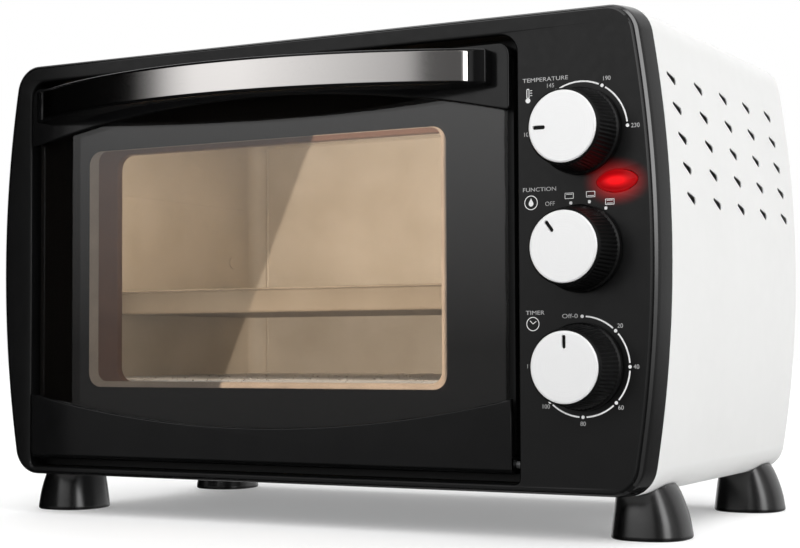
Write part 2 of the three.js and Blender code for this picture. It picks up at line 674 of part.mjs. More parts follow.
const bracketFrontY = bezelDepth + 1;
const bracketBackY = bracketFrontY + sheet;

function controlBracket() {
  const plate = block(cavityFlange.right + 2, 190, bracketFrontY, bracketBackY, 40, 238);
  const flange = block(cavityFlange.right + 2, cavityFlange.right + 2 + sheet, bracketFrontY,
    bracketFrontY + 14, 40, 238);
  const holes = Object.values(knobHeights)
    .map((z) => rodAlongY(shaftRadius + 1, bracketFrontY - 1, bracketBackY + 1, knob.x, z, 12));
  return cut(join(plate, flange), ...holes);
}

/** A switch body behind the bracket, bored for its shaft, with a row of tab terminals at its back. */
function switchBody(z, body, halfWidth, halfHeight, depth, tabs) {
  const y0 = bracketBackY + gap;
  const bore = rodAlongY(shaftRadius + gap, y0 - 1, 20, knob.x, z);
  const terminals = Array.from({ length: tabs }, (_, i) => {
    const x = knob.x + (i - (tabs - 1) / 2) * 9;
    return block(x - 2.4, x + 2.4, y0 + depth - 1, y0 + depth + 8, z - 0.5, z + 0.5);
  });
  const whole = body === 'round'
    ? rodAlongY(halfWidth, y0, y0 + depth, knob.x, z, 24)
    : block(knob.x - halfWidth, knob.x + halfWidth, y0, y0 + depth, z - halfHeight, z + halfHeight);
  return cut(join(whole, ...terminals), bore);
}

function indicatorLens() {
  const stem = lensPlate(0, -0.6, lens.rearY);
  const crown = lensPlate(-1.4, -1.6, 0);
  return join(stem, crown);
}

function lampHolder() {
  const y0 = lens.rearY + gap;
  return block(lens.x - 8, lens.x + 8, y0, y0 + 6.8, lens.z - 4.5, lens.z + 4.5);
}

function terminalBlock() {
  const base = footLift + sheet + gap;
  const body = block(122, 158, 176, 192, base, base + 15);
  const wells = [131, 140, 149].map((x) => rodAlongZ(2.6, base + 8, base + 16, x, 184, 12));
  return cut(body, ...wells);
}

function controls() {
  const group = new THREE.Group();
  group.add(
    piece('control_bracket', controlBracket(), finish.zincSteel),
    piece('thermostat', switchBody(knobHeights.temperature, 'round', 17, 17, 24, 2), finish.ceramic),
    piece('function_switch', switchBody(knobHeights.function, 'square', 16, 18, 30, 4), finish.innerPlastic),
    piece('timer_unit', switchBody(knobHeights.timer, 'square', 21, 24, 36, 2), finish.zincSteel),
    piece('indicator_lens', indicatorLens(), finish.redLens),
    piece('lamp_holder', lampHolder(), finish.innerPlastic),
    piece('terminal_block', terminalBlock(), finish.innerPlastic),
    ...Object.keys(knobHeights).map(knobSet),
  );
  return group;
}

// ---------------------------------------------------------------- oven cavity

const elementPlaces = () => Object.entries(elementRows).flatMap(([row, z]) =>
  Object.entries(elementDepths).map(([place, y]) => ({ name: `${row}_element_${place}`, row, y, z })));

function cavityLiner() {
  const t = cavityWall;
  const box = block(cavity.left - t, cavity.right + t, cavity.frontY, cavity.rearY + t,
    cavity.bottom - t, cavity.top + t);
  const flange = block(cavityFlange.left, cavityFlange.right, cavity.frontY, cavity.frontY + t,
    cavityFlange.bottom, cavityFlange.top);
  const inside = block(cavity.left, cavity.right, cavity.frontY - 1, cavity.rearY,
    cavity.bottom, cavity.top);
  const elementHoles = elementPlaces()
    .map(({ y, z }) => rodAlongX(elementRadius + 1, cavity.left - 3, cavity.right + 3, y, z, 12));
  return cut(join(box, flange), inside, ...elementHoles);
}

/** Sheathed heating tube across the cavity, with a thinner terminal pin at each end. */
function heatingElement(y, z) {
  const reach = cavityHalfWidth + 6;
  const tube = rodAlongX(elementRadius, cavityMidX - reach, cavityMidX + reach, y, z, 10);
  const pins = rodAlongX(1.6, cavityMidX - reach - 9, cavityMidX + reach + 9, y, z, 6);
  return join(tube, pins);
}

/** Ceramic strip outside a side wall that holds the ends of the front and rear tubes of one row. */
function elementHolder(sign, z) {
  const wall = cavityMidX + sign * (cavityHalfWidth + cavityWall + gap);
  const [x0, x1] = [wall, wall + sign * 7].sort((a, b) => a - b);
  const bar = block(x0, x1, elementDepths.front - 11, elementDepths.rear + 11, z - 7, z + 7);
  const seats = Object.values(elementDepths)
    .map((y) => rodAlongX(elementRadius + gap, x0 - 1, x1 + 1, y, z, 12));
  return cut(bar, ...seats);
}

/** Guide plate on a side wall with two ledges that carry the rack and the tray. */
function rackGuide(sign) {
  const wall = cavityHalfWidth - gap;
  const place = (from, to) => [cavityMidX + sign * from, cavityMidX + sign * to].sort((a, b) => a - b);
  const [p0, p1] = place(wall, wall - guidePlate);
  const [l0, l1] = place(wall, wall - ledgeWidth);
  const plate = block(p0, p1, 22, 204, 64, 186);
  const ledges = ledgeLevels.map((top) => block(l0, l1, 20, 204, top - 1.4, top));
  return join(plate, ...ledges);
}

/** Shelf rack: a frame of heavy wire carrying lighter wires that run front to back. */
function wireRack() {
  const halfWidth = cavityHalfWidth - gap - guidePlate - 1.4;
  const wire = 4.4;
  const z0 = ledgeLevels[0] + gap;
  const ring = (inset) => roundedRectangle(cavityMidX - halfWidth + inset, cavityMidX + halfWidth - inset,
    24 + inset, 202 - inset, 9 - inset);
  const frame = cut(flatPlate(ring(0), z0, z0 + wire, 3), flatPlate(ring(wire), z0 - 1, z0 + wire + 1, 3));
  const rods = 13;
  const pitch = (2 * halfWidth) / (rods + 1);
  const bars = Array.from({ length: rods }, (_, i) => rodAlongY(1.3, 26, 200,
    cavityMidX - halfWidth + (i + 1) * pitch, z0 + wire - 1.3, 5));
  return join(frame, ...bars);
}

/** Baking tray: a shallow pan with sloped walls and a flat rim that slides on the middle ledges. */
function bakingTray() {
  const rimTop = ledgeLevels[1] + gap + 1;
  const plate = 1;
  const halfWidth = cavityHalfWidth - gap - guidePlate - 1.4;
  const panHalfWidth = cavityHalfWidth - gap - ledgeWidth - 2;
  const outline = (half, inset, radius) =>
    uniquePoints(roundedRectangle(cavityMidX - half, cavityMidX + half, 24 + inset, 200 - inset, radius), 4);
  const rim = loft([
    { level: rimTop - plate, points: outline(halfWidth, 0, 10) },
    { level: rimTop, points: outline(halfWidth, 0, 10) },
  ]);
  const pan = loft([
    { level: rimTop - 13, points: outline(panHalfWidth - 4, 14, 14) },
    { level: rimTop - plate / 2, points: outline(panHalfWidth, 9, 16) },
  ]);
  const hollow = loft([
    { level: rimTop - 13 + plate, points: outline(panHalfWidth - 5, 15, 13) },
    { level: rimTop + 1, points: outline(panHalfWidth - 1, 10, 15) },
  ]);
  return cut(join(rim, pan), hollow);
}

function ovenInside() {
  const group = new THREE.Group();
  group.add(piece('oven_cavity', cavityLiner(), finish.cavitySteel));
  for (const { name, y, z } of elementPlaces()) {
    group.add(piece(name, heatingElement(y, z), finish.enamel));
  }
  for (const [side, sign] of [['left', -1], ['right', 1]]) {
    for (const [row, z] of Object.entries(elementRows)) {
      group.add(piece(`${row}_element_holder_${side}`, elementHolder(sign, z), finish.ceramic));
    }
    group.add(piece(`rack_guide_${side}`, rackGuide(sign), finish.cavitySteel));
  }
  group.add(
    piece('hinge_bracket_left', hingeBracket(-1, opening.left - bezelWall - gap), finish.zincSteel),
    piece('hinge_bracket_right', hingeBracket(1, opening.right + bezelWall + gap), finish.zincSteel),
    piece('wire_rack', wireRack(), finish.zincSteel),
    piece('baking_tray', bakingTray(), finish.enamel),
  );
  return group;
}

// ---------------------------------------------------------------- the whole oven

const toasterOven = new THREE.Group();
toasterOven.add(casing(), doorAssembly(), controls(), ovenInside());
toasterOven.position.y = -middleY;

export default toasterOven;
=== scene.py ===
"""Looks of the toaster oven: detailed pieces and procedural finishes laid over the CAD model."""

import json
import math

import bmesh
import bpy
from mathutils import Matrix, Vector
from mathutils.geometry import tessellate_polygon

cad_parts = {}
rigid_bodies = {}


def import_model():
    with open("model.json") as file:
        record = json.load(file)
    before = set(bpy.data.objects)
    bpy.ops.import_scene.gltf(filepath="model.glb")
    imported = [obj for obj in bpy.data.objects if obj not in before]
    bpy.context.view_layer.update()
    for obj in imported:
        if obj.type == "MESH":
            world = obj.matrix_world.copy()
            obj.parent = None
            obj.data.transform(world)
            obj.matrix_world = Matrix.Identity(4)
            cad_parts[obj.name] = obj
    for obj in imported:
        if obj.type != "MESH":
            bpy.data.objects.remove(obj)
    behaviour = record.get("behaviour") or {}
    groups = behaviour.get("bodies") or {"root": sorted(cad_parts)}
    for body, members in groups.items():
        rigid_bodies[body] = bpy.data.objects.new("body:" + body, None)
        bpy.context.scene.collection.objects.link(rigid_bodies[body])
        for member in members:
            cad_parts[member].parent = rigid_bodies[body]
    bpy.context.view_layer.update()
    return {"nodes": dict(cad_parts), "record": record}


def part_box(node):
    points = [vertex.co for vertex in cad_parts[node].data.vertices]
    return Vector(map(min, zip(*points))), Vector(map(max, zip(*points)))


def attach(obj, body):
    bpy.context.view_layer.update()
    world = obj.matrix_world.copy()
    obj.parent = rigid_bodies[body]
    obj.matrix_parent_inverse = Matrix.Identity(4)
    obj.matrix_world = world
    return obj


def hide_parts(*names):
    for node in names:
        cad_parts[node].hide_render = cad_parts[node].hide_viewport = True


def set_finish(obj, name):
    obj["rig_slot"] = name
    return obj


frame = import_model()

# Everything is drawn in millimetres with y = 0 on the bezel's front face, then placed in metres.
# Profiles pair a depth with how far the outline draws back there.
MM = 0.001
FACE_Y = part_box("front_bezel")[0].y

# ---------------------------------------------------------------- sizes, mm

SHEET = 1.2
GAP = 0.3
CASING = {"half_width": 202.5, "height": 234.4, "lift": 22.0, "corner": 16.0, "side_radius": 625.0,
          "front": 12.3, "rear": 222.5}
MID_Z = CASING["lift"] + CASING["height"] / 2
TOP_Z = CASING["lift"] + CASING["height"]
BEZEL = {"depth": 12.0, "wall": 3.0, "flare": 3.1}
OPENING = {"left": -178.4, "right": 127.9, "bottom": 26.9, "top": 245.9, "corner": 9.0,
           "lower_corner": 3.0}
DOOR = {"left": -176.5, "right": 124.5, "bottom": 31.5, "top": 242.0, "front": -1.8, "rear": 9.7}
DOOR_MID = (DOOR["left"] + DOOR["right"]) / 2
DOOR_HALF = (DOOR["right"] - DOOR["left"]) / 2
GLASS = {"front": 1.0, "rear": 5.0, "margin": 3.5, "bottom": 43.0, "top": 238.6}
WINDOW = {"left": -120.5, "right": 88.5, "bottom": 75.0, "top": 201.2, "corner": 8.0}
CLEAR = {"left": -140.3, "right": 86.5, "bottom": 72.0, "top": 204.4, "corner": 8.0}
SEAL = {"left": -133.8, "right": 83.5, "bottom": 75.2, "top": 204.1, "corner": 6.0}
TOP_TRIM = {"crown": 226.3, "rise": 18.0}
BOTTOM_TRIM = {"crown": 51.4, "rise": 16.7}
HINGE = {"y": 6.0, "z": 36.0, "radius": 1.8, "reach": 11.0}
HANDLE = {"reach": 47.3, "half_span": 141.0, "foot": -9.0, "back": -2.1, "bottom": 221.2, "top": 238.8}
HANDLE_INNER = {"half_span": 112.0, "reach": 38.8, "foot": -2.1}
STRIP = {"half_span": 134.2, "bottom": 222.5, "top": 237.5, "depth": 1.0}
KNOB = {"x": 161.3, "cap": 17.0, "ridges": 60}
KNOB_HEIGHTS = {"temperature": 196.0, "function": 139.9, "timer": 83.8}
POINTERS = {"temperature": -90.0, "function": -36.0, "timer": 0.0}
KNOB_BODIES = {name: f"{name}_control" for name in KNOB_HEIGHTS}
VENT = {"length": 12.4, "radius": 2.0, "tip": 0.9, "slant": -0.32, "y": 28.4, "step_y": 39.5,
        "z": 222.7, "step_z": 14.3, "set_back": 3.2, "rows": 5, "columns": 5}
LENS = {"x": 179.7, "z": 171.4, "half_width": 10.2, "half_height": 5.25, "rear": 5.0, "tilt": 0.06}
CAVITY = {"left": -168.0, "right": 118.0, "bottom": 43.0, "top": 240.0, "front": 12.8, "rear": 213.0}
FLANGE = {"left": -183.5, "right": 136.0, "bottom": 25.5, "top": 251.0}
CAVITY_MID = (CAVITY["left"] + CAVITY["right"]) / 2
CAVITY_HALF = (CAVITY["right"] - CAVITY["left"]) / 2
ELEMENTS = {"radius": 4.0, "rows": {"upper": 227.0, "lower": 55.0}, "depths": {"front": 72.0, "rear": 152.0}}
LEDGES = (72.9, 124.9)
RODS = 13
BASE = {"half_width": 162.0, "setback": 8.0}
FOOT_SCREW_HOLE = 2.4
REAR_SCREW_HOLE = 2.0
FOOT_PLACES = {"x": 180.0, "front": 41.0, "rear": 199.0}
REAR_SCREWS = {"x": 184.0, "top": TOP_Z - 12, "bottom": CASING["lift"] + 12}
SIDES = (("left", -1), ("right", 1))
HANDLE_SCREWS = {"left": DOOR_MID - 126, "right": DOOR_MID + 126}
HANDLE_SCREW_Z = 230.0
NO_EDGES = (0, 0)
GLAND = {"x": 160.0, "z": 52.0, "flange": 9.0, "barrel": 7.0, "bore": 4.0, "end": 231.2}

# ---------------------------------------------------------------- flat outlines


def arc(cx, cy, radius, start, end, steps):
    """Points along an arc from one angle to another, both ends included."""
    angles = [start + (end - start) * i / steps for i in range(steps + 1)]
    return [(cx + radius * math.cos(a), cy + radius * math.sin(a)) for a in angles]


def circle(cx, cy, radius, steps=48):
    return arc(cx, cy, radius, 0, 2 * math.pi, steps)[:-1]


def rounded(left, right, bottom, top, radius, steps=8):
    quarter = math.pi / 2
    return (arc(right - radius, bottom + radius, radius, -quarter, 0, steps)
            + arc(right - radius, top - radius, radius, 0, quarter, steps)
            + arc(left + radius, top - radius, radius, quarter, 2 * quarter, steps)
            + arc(left + radius, bottom + radius, radius, 2 * quarter, 3 * quarter, steps))


def framed(box, radius, steps=8, margin=0.0):
    """A rounded rectangle from a table of its sides, moved inward by a margin."""
    return rounded(box["left"] + margin, box["right"] - margin, box["bottom"] + margin, box["top"] - margin,
                   radius, steps)


def slot_outline(cx, cy, length, width, angle=0.0, steps=8):
    reach = (length - width) / 2
    dx, dy = reach * math.cos(angle), reach * math.sin(angle)
    quarter = math.pi / 2
    return (arc(cx + dx, cy + dy, width / 2, angle - quarter, angle + quarter, steps)
            + arc(cx - dx, cy - dy, width / 2, angle + quarter, angle + 3 * quarter, steps))


def cleaned(points):
    """The outline without points that repeat their neighbour."""
    kept = []
    for p in points:
        if not kept or math.dist(p, kept[-1]) > 1e-4:
            kept.append(p)
    while math.dist(kept[0], kept[-1]) < 1e-4:
        kept.pop()
    return kept


def area(points):
    return sum(a[0] * b[1] - b[0] * a[1] for a, b in zip(points, points[1:] + points[:1])) / 2


def inset(points, amount):
    """An outline moved inward by an amount, mitred at its corners."""
    turn = 1 if area(points) > 0 else -1
    moved = []
    for before, here, after in zip(points[-1:] + points[:-1], points, points[1:] + points[:1]):
        first = Vector((before[1] - here[1], here[0] - before[0])).normalized() * turn
        second = Vector((here[1] - after[1], after[0] - here[0])).normalized() * turn
        shift = (first + second) / max(0.3, 1 + first.dot(second)) * amount
        moved.append((here[0] + shift.x, here[1] + shift.y))
    return moved


def casing_outline(side=0.0, edge=None, side_steps=36, corner_steps=10):
    """The casing's section seen from the front, drawn inside its outer skin by the two insets."""
    edge = side if edge is None else edge
    corner = CASING["corner"] - edge
    side_radius = CASING["side_radius"] - side
    half_width = CASING["half_width"] - side
    lift = CASING["height"] / 2 - edge - corner
    reach = math.sqrt((side_radius - corner) ** 2 - lift ** 2)
    corner_x = half_width - side_radius + reach
    tilt = math.asin(lift / (side_radius - corner))
    quarter = math.pi / 2
    return cleaned(
        arc(half_width - side_radius, MID_Z, side_radius, -tilt, tilt, side_steps)
        + arc(corner_x, MID_Z + lift, corner, tilt, quarter, corner_steps)
        + arc(-corner_x, MID_Z + lift, corner, quarter, math.pi - tilt, corner_steps)
        + arc(side_radius - half_width, MID_Z, side_radius, math.pi - tilt, math.pi + tilt, side_steps)
        + arc(-corner_x, MID_Z - lift, corner, math.pi + tilt, 3 * quarter, corner_steps)
        + arc(corner_x, MID_Z - lift, corner, -quarter, -tilt, corner_steps))


def bow_arc(bow):
    """Centre, radius and half sweep of a bow in plan, from its feet out to its crown."""
    rise = bow["reach"] + bow["foot"]
    radius = (bow["half_span"] ** 2 + rise ** 2) / (2 * rise)
    return radius - bow["reach"], radius, math.asin(bow["half_span"] / radius)


# ---------------------------------------------------------------- solids from outlines

PLANES = {
    "front": lambda u, v, depth: (u, depth, v),
    "top": lambda u, v, depth: (u, v, depth),
    "side": lambda u, v, depth: (depth, u, v),
}


class Surface:
    """Faces gathered in millimetres and turned into one object at the end."""

    def __init__(self, plane="front"):
        self.mesh = bmesh.new()
        self.plane = plane

    def ring(self, points, depth, plane=None):
        spread = PLANES[plane or self.plane]
        return [self.mesh.verts.new(spread(u, v, depth)) for u, v in points]

    def loop(self, points):
        return [self.mesh.verts.new(p) for p in points]

    def wall(self, first, second):
        count = len(first)
        for i in range(count):
            j = (i + 1) % count
            self.mesh.faces.new((first[i], first[j], second[j], second[i]))

    def walls(self, rings, closed=False):
        for first, second in zip(rings, rings[1:]):
            self.wall(first, second)
        if closed:
            self.wall(rings[-1], rings[0])

    def closed(self, rings):
        """Walls along a row of rings, with a cap on its first and its last."""
        self.walls(rings)
        self.cap(rings[0])
        self.cap(rings[-1])
        return self

    def cap(self, *rings):
        corners = [v for ring in rings for v in ring]
        for triangle in tessellate_polygon([[v.co for v in ring] for ring in rings]):
            if len(set(triangle)) == 3:
                self.mesh.faces.new([corners[i] for i in triangle])

    def slab(self, outer, low, high, holes=(), edges=(0.4, 0.4), steps=3, plane=None):
        """A plate between two depths, its rims rounded by the two edge radii."""
        outer = cleaned(outer)
        levels = rim_levels(low, high, edges, steps)
        sides = [(outer, 1)] + [(cleaned(hole), -1) for hole in holes]
        ends = []
        for outline, way in sides:
            rings = [self.ring(inset(outline, way * back) if back else outline, depth, plane)
                     for depth, back in levels]
            self.walls(rings)
            ends.append((rings[0], rings[-1]))
        self.cap(*[first for first, _ in ends])
        self.cap(*[last for _, last in ends])
        return self

    def cut(self, outline, low, high, plane=None):
        """A slab with sharp rims, for a tool that is cut out of a piece."""
        return self.slab(outline, low, high, edges=NO_EDGES, plane=plane)

    def lathe(self, profile, steps=48, centre=(0.0, 0.0), plane=None):
        """A profile of (radius, depth) pairs turned round an axis, closed by caps at its two ends."""
        rings = [self.ring(circle(*centre, radius, steps), depth, plane) for radius, depth in profile]
        return self.closed(rings)

    def tube(self, path, radius, sides=12, closed=False):
        """A round wire along a path of points that lies roughly level."""
        rings = []
        count = len(path)
        points = [Vector(p) for p in path]
        for i, here in enumerate(points):
            before = points[i - 1] if closed or i else here
            after = points[(i + 1) % count] if closed or i < count - 1 else here
            along = (after - before).normalized()
            aside = along.cross(Vector((0, 0, 1))).normalized()
            above = aside.cross(along)
            rings.append(self.loop([
                here + (aside * math.cos(a) + above * math.sin(a)) * radius
                for a in [2 * math.pi * k / sides for k in range(sides)]]))
        self.walls(rings, closed)
        if not closed:
            self.cap(rings[0])
            self.cap(rings[-1])
        return self

    def piece(self, name, body, slot, nodes=(), crease=32, origin=(0, 0, 0)):
        """Close the surface and place it as an object that rides a body and stands for CAD nodes."""
        bmesh.ops.remove_doubles(self.mesh, verts=self.mesh.verts, dist=1e-5)
        bmesh.ops.recalc_face_normals(self.mesh, faces=self.mesh.faces)
        bmesh.ops.scale(self.mesh, vec=(MM, MM, MM), verts=self.mesh.verts)
        data = bpy.data.meshes.new(name)
        self.mesh.to_mesh(data)
        self.mesh.free()
        item = bpy.data.objects.new(name, data)
        bpy.context.collection.objects.link(item)
        item.location = (origin[0] * MM, origin[1] * MM + FACE_Y, origin[2] * MM)
        soften(item, crease)
        if body:
            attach(item, body)
            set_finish(item, slot)
            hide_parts(*nodes)
        return item


def rim_levels(low, high, edges, steps):
    """Depths across a plate with how far its outline draws back at each, for rounded rims."""
    levels = []
    for edge, base, way in ((edges[0], low, 1), (edges[1], high, -1)):
        turns = [math.pi / 2 * i / steps for i in range(steps + 1)] if edge else [math.pi / 2]
        side = [(base + way * edge * (1 - math.cos(t)), edge * (1 - math.sin(t))) for t in turns]
        levels.append(side)
    return levels[0] + levels[1][::-1]


def soften(item, crease):
    """Shade smoothly, with creases kept where faces meet at more than an angle in degrees."""
    item.data.shade_smooth()
    item.data.set_sharp_from_angle(angle=math.radians(crease))
    bevel = item.modifiers.new("even_normals", "WEIGHTED_NORMAL")
    bevel.keep_sharp = True


def carve(item, cutter, crease=32):
    """Cut a tool's volume out of a piece and drop the tool."""
    modifier = item.modifiers.new("carve", "BOOLEAN")
    modifier.operation = "DIFFERENCE"
    modifier.solver = "EXACT"
    modifier.object = cutter
    for other in list(item.modifiers):
        if other.type == "WEIGHTED_NORMAL":
            item.modifiers.remove(other)
    bpy.context.view_layer.update()
    shaped = bpy.data.meshes.new_from_object(item.evaluated_get(bpy.context.evaluated_depsgraph_get()))
    item.modifiers.clear()
    item.data = shaped
    bpy.data.objects.remove(cutter)
    soften(item, crease)
    return item


def tool(surface):
    return surface.piece("tool", None, None)


# ---------------------------------------------------------------- casing


def clipped(outline, limit, side):
    """The part of a casing outline beyond an upright line at x = limit, closed along that line."""
    beyond = [p for p in outline if (p[0] - limit) * side > 0]
    top, bottom = max(z for _, z in beyond), min(z for _, z in beyond)
    start = max(range(len(beyond)), key=lambda i: math.dist(beyond[i], beyond[i - 1]))
    ordered = beyond[start:] + beyond[:start]
    ends = [(limit, top), (limit, bottom)]
    return cleaned(ordered + (ends if ordered[-1][1] > ordered[0][1] else ends[::-1]))


def lens_outline(clearance=0.0, steps=56):
    """Oval of the indicator lens, drawn in a little at its ends, on its tilted place."""
    a, b = LENS["half_width"] + clearance, LENS["half_height"] + clearance
    turns = [2 * math.pi * i / steps for i in range(steps)]
    points = [(a * math.cos(t), b * math.copysign(abs(math.sin(t)) ** 1.2, math.sin(t))) for t in turns]
    c, s = math.cos(LENS["tilt"]), math.sin(LENS["tilt"])
    return cleaned([(LENS["x"] + x * c - z * s, LENS["z"] + x * s + z * c) for x, z in points])


def opening_outline():
    """The door opening in the bezel, tighter at its lower corners than at its upper ones."""
    upper, lower = framed(OPENING, OPENING["corner"]), framed(OPENING, OPENING["lower_corner"])
    middle = (OPENING["bottom"] + OPENING["top"]) / 2
    return [low if low[1] < middle else high for low, high in zip(lower, upper)]


def pin_bore():
    return circle(HINGE["y"], HINGE["z"], HINGE["radius"] + GAP, 24)


def front_bezel():
    """Moulded front with its rolled edge, the door opening, the knobs' holes and the lens's seat."""
    surface = Surface()
    profile = [(0, 6.6, 2.6), (0.06, 6.0, 2.3), (0.25, 5.3, 2.0), (0.55, 4.8, 1.7), (0.65, 4.69, 1.63),
               (1.7, 3.51, 0.85), (1.8, 3.4, 0.78), (2.6, 2.95, 0.55), (4.0, 2.5, 0.4), (7.5, 1.3, 0.15),
               (11.7, 0.1, 0), (12, 0.3, 0.3)]
    rings = [surface.ring(casing_outline(side, edge), y) for y, side, edge in profile]
    surface.walls(rings)
    shafts = [circle(KNOB["x"], z, 4.0, 24) for z in KNOB_HEIGHTS.values()]
    lens = lens_outline(GAP)
    inner = casing_outline(BEZEL["wall"] + BEZEL["flare"])
    pockets = [clipped(inner, OPENING["right"] + BEZEL["wall"], 1),
               clipped(inner, OPENING["left"] - BEZEL["wall"], -1)]
    door_rings = [surface.ring(inset(opening_outline(), -back), y)
                  for y, back in ((0, 1.0), (0.3, 0.45), (1.0, 0), (11.6, 0), (12, -0.3))]
    surface.walls(door_rings)
    small = []
    for hole in shafts + [lens]:
        steps = [surface.ring(inset(hole, -back), y) for y, back in ((0, 0.3), (0.3, 0), (3.0, 0))]
        surface.walls(steps)
        small.append(steps)
    surface.cap(rings[0], door_rings[0], *[steps[0] for steps in small])
    floors = [surface.ring(pocket, BEZEL["wall"]) for pocket in pockets]
    rims = [surface.ring(pocket, BEZEL["depth"]) for pocket in pockets]
    for floor, rim in zip(floors, rims):
        surface.wall(floor, rim)
    surface.cap(floors[0], *[steps[-1] for steps in small])
    surface.cap(floors[1])
    surface.cap(rings[-1], door_rings[-1], *rims)
    item = surface.piece("bezel_moulding", "root", "satin_black", ["front_bezel"])
    pins = Surface("side")
    for x0, x1 in ((OPENING["left"] - 4, OPENING["left"] + 1), (OPENING["right"] - 1, OPENING["right"] + 4)):
        pins.cut(pin_bore(), x0, x1)
    return carve(item, tool(pins))


def vent_outline(y, z):
    """One tapered vent: narrow at its upper front end, round at its lower rear end."""
    along = (math.cos(VENT["slant"]), math.sin(VENT["slant"]))
    radius, tip = VENT["radius"], VENT["tip"]
    cy, cz = (c + a * (VENT["length"] / 2 - radius) for c, a in zip((y, z), along))
    reach = VENT["length"] - radius - tip
    wrap = math.pi / 2 + math.asin((radius - tip) / reach)
    start, end = VENT["slant"] - wrap, VENT["slant"] + wrap
    return (arc(cy, cz, radius, start, end, 12)
            + arc(cy - along[0] * reach, cz - along[1] * reach, tip, end, start + 2 * math.pi, 6))


def side_vents():
    """Cutters for five rows of five vents through both sides, each row set back from the one above."""
    cutters = Surface("side")
    for row in range(VENT["rows"]):
        for column in range(VENT["columns"]):
            outline = vent_outline(VENT["y"] + column * VENT["step_y"] + row * VENT["set_back"],
                                   VENT["z"] - row * VENT["step_z"])
            for side in (-1, 1):
                near, far = sorted((side * 188.0, side * 207.0))
                cutters.cut(outline, near, far)
    return cutters


def outer_shell():
    """One sheet wrapped round the oven, with a flange turned in at the back and vents in both sides."""
    surface = Surface()
    front, rear, flange = CASING["front"], CASING["rear"], 14.0
    skin = 0.55
    between = [front + 6.0 * step for step in range(1, 35)]
    turns = [math.pi / 12 * step for step in range(7)]
    hem = [(rear - 3 * (1 - math.sin(a)), 3 * (1 - math.cos(a))) for a in turns]
    profile = [(front, 0.35), (front + 0.1, 0.1), (front + 0.35, 0)] + [(y, 0) for y in between] + hem
    profile += [(rear, 3.2), (rear - 1.5, 3.2), (rear - 1.5, flange), (rear - 2.2, flange),
                (rear - 2.2, 3.2), (rear - 3.4, skin)]
    profile += [(y, skin) for y in reversed(between)] + [(front, skin)]
    rings = [surface.ring(casing_outline(side), y) for y, side in profile]
    surface.walls(rings, closed=True)
    item = surface.piece("wrap_sheet", "root", "white_shell", ["outer_shell"])
    carve(item, tool(shell_openings(side_vents())))
    return smooth_casing(item)


def shell_openings(cutters):
    """Add the cutters for the base plate's opening and for the screws of the feet and the rear cover."""
    front, rear, low = CASING["front"], CASING["rear"], CASING["lift"]
    base = rounded(-BASE["half_width"], BASE["half_width"], front - 1, rear - BASE["setback"], 1.5, 3)
    cutters.cut(base, low - 2, low + 2, "top")
    for _, side in SIDES:
        for y in (FOOT_PLACES["front"], FOOT_PLACES["rear"]):
            hole = circle(side * FOOT_PLACES["x"], y, FOOT_SCREW_HOLE, 20)
            cutters.cut(hole, low - 2, low + 2, "top")
        for hole in rear_screw_holes(side):
            cutters.cut(hole, rear - 6, rear + 1, "front")
    return cutters


def rear_screw_holes(side):
    return [circle(side * REAR_SCREWS["x"], z, REAR_SCREW_HOLE, 20)
            for z in (REAR_SCREWS["top"], REAR_SCREWS["bottom"])]


def smooth_casing(item):
    """Give the outer skin the exact normals of its bowed sides, so that the vents don't dent the shading."""
    for modifier in list(item.modifiers):
        item.modifiers.remove(modifier)
    data = item.data
    half, radius = CASING["half_width"], CASING["side_radius"]
    normals = []
    for face in data.polygons:
        for index in face.loop_indices:
            x, _, z = data.vertices[data.loops[index].vertex_index].co / MM
            centre = (half - radius) * (1 if x > 0 else -1)
            out = Vector((x - centre, 0, z - MID_Z)).normalized()
            on_skin = abs(math.dist((x, z), (centre, MID_Z)) - radius) < 0.08 and face.normal.dot(out) > 0.98
            normals.append(out if on_skin else Vector(data.corner_normals[index].vector))
    data.normals_split_custom_set(normals)
    return item


def base_plate():
    """Pressed plate under the oven with two rows of slots and two ribs."""
    low = CASING["lift"]
    slots = [slot_outline(x, y, 40, 5) for y in (100, 140) for x in (-110, -55, 0, 55)]
    half_width, back = BASE["half_width"] - GAP, CASING["rear"] - BASE["setback"] - GAP
    plate = rounded(-half_width, half_width, CASING["front"], back, 1.2, 3)
    surface = Surface("top").slab(plate, low + 0.05, low + SHEET, slots, edges=(0.25, 0.25))
    for y in (62, 178):
        surface.slab(slot_outline(0, y, 250, 7), low + SHEET - 0.3, low + SHEET + 1.2, edges=(0.2, 1.0))
    return surface.piece("floor_pressing", "root", "zinc_steel", ["base_plate"])


def rear_panel():
    """Cover plate at the back with four rows of slots, two pressed ribs and its cable hole."""
    rear = CASING["rear"]
    slots = [slot_outline(x, z, 52, 5) for z in (176, 190, 204, 218) for x in (-110, -40, 30)]
    holes = [hole for _, side in SIDES for hole in rear_screw_holes(side)]
    cable = circle(GLAND["x"], GLAND["z"], GLAND["barrel"] - 0.7, 32)
    surface = Surface().slab(casing_outline(3.5), rear - SHEET, rear, slots + holes + [cable],
                             edges=(0.25, 0.35))
    for z in (92, 128):
        surface.slab(slot_outline(-18, z, 250, 9), rear - SHEET - 1.0, rear - SHEET + 0.3, edges=(0.8, 0.1))
    return surface.piece("back_cover", "root", "zinc_steel", ["rear_panel"])


def foot_plan(x, y, half_width, half_depth, tuck=0.0, squareness=2.4, steps=56):
    """Plan of a foot, between an ellipse and a rectangle, with its outer half tucked in by a share."""
    points = []
    for i in range(steps):
        c, s = math.cos(2 * math.pi * i / steps), math.sin(2 * math.pi * i / steps)
        spread = (abs(c) ** squareness + abs(s) ** squareness) ** (-1 / squareness)
        outer = 1 - tuck if c * x > 0 else 1
        points.append((x + half_width * spread * c * outer, y + half_depth * spread * s))
    return points


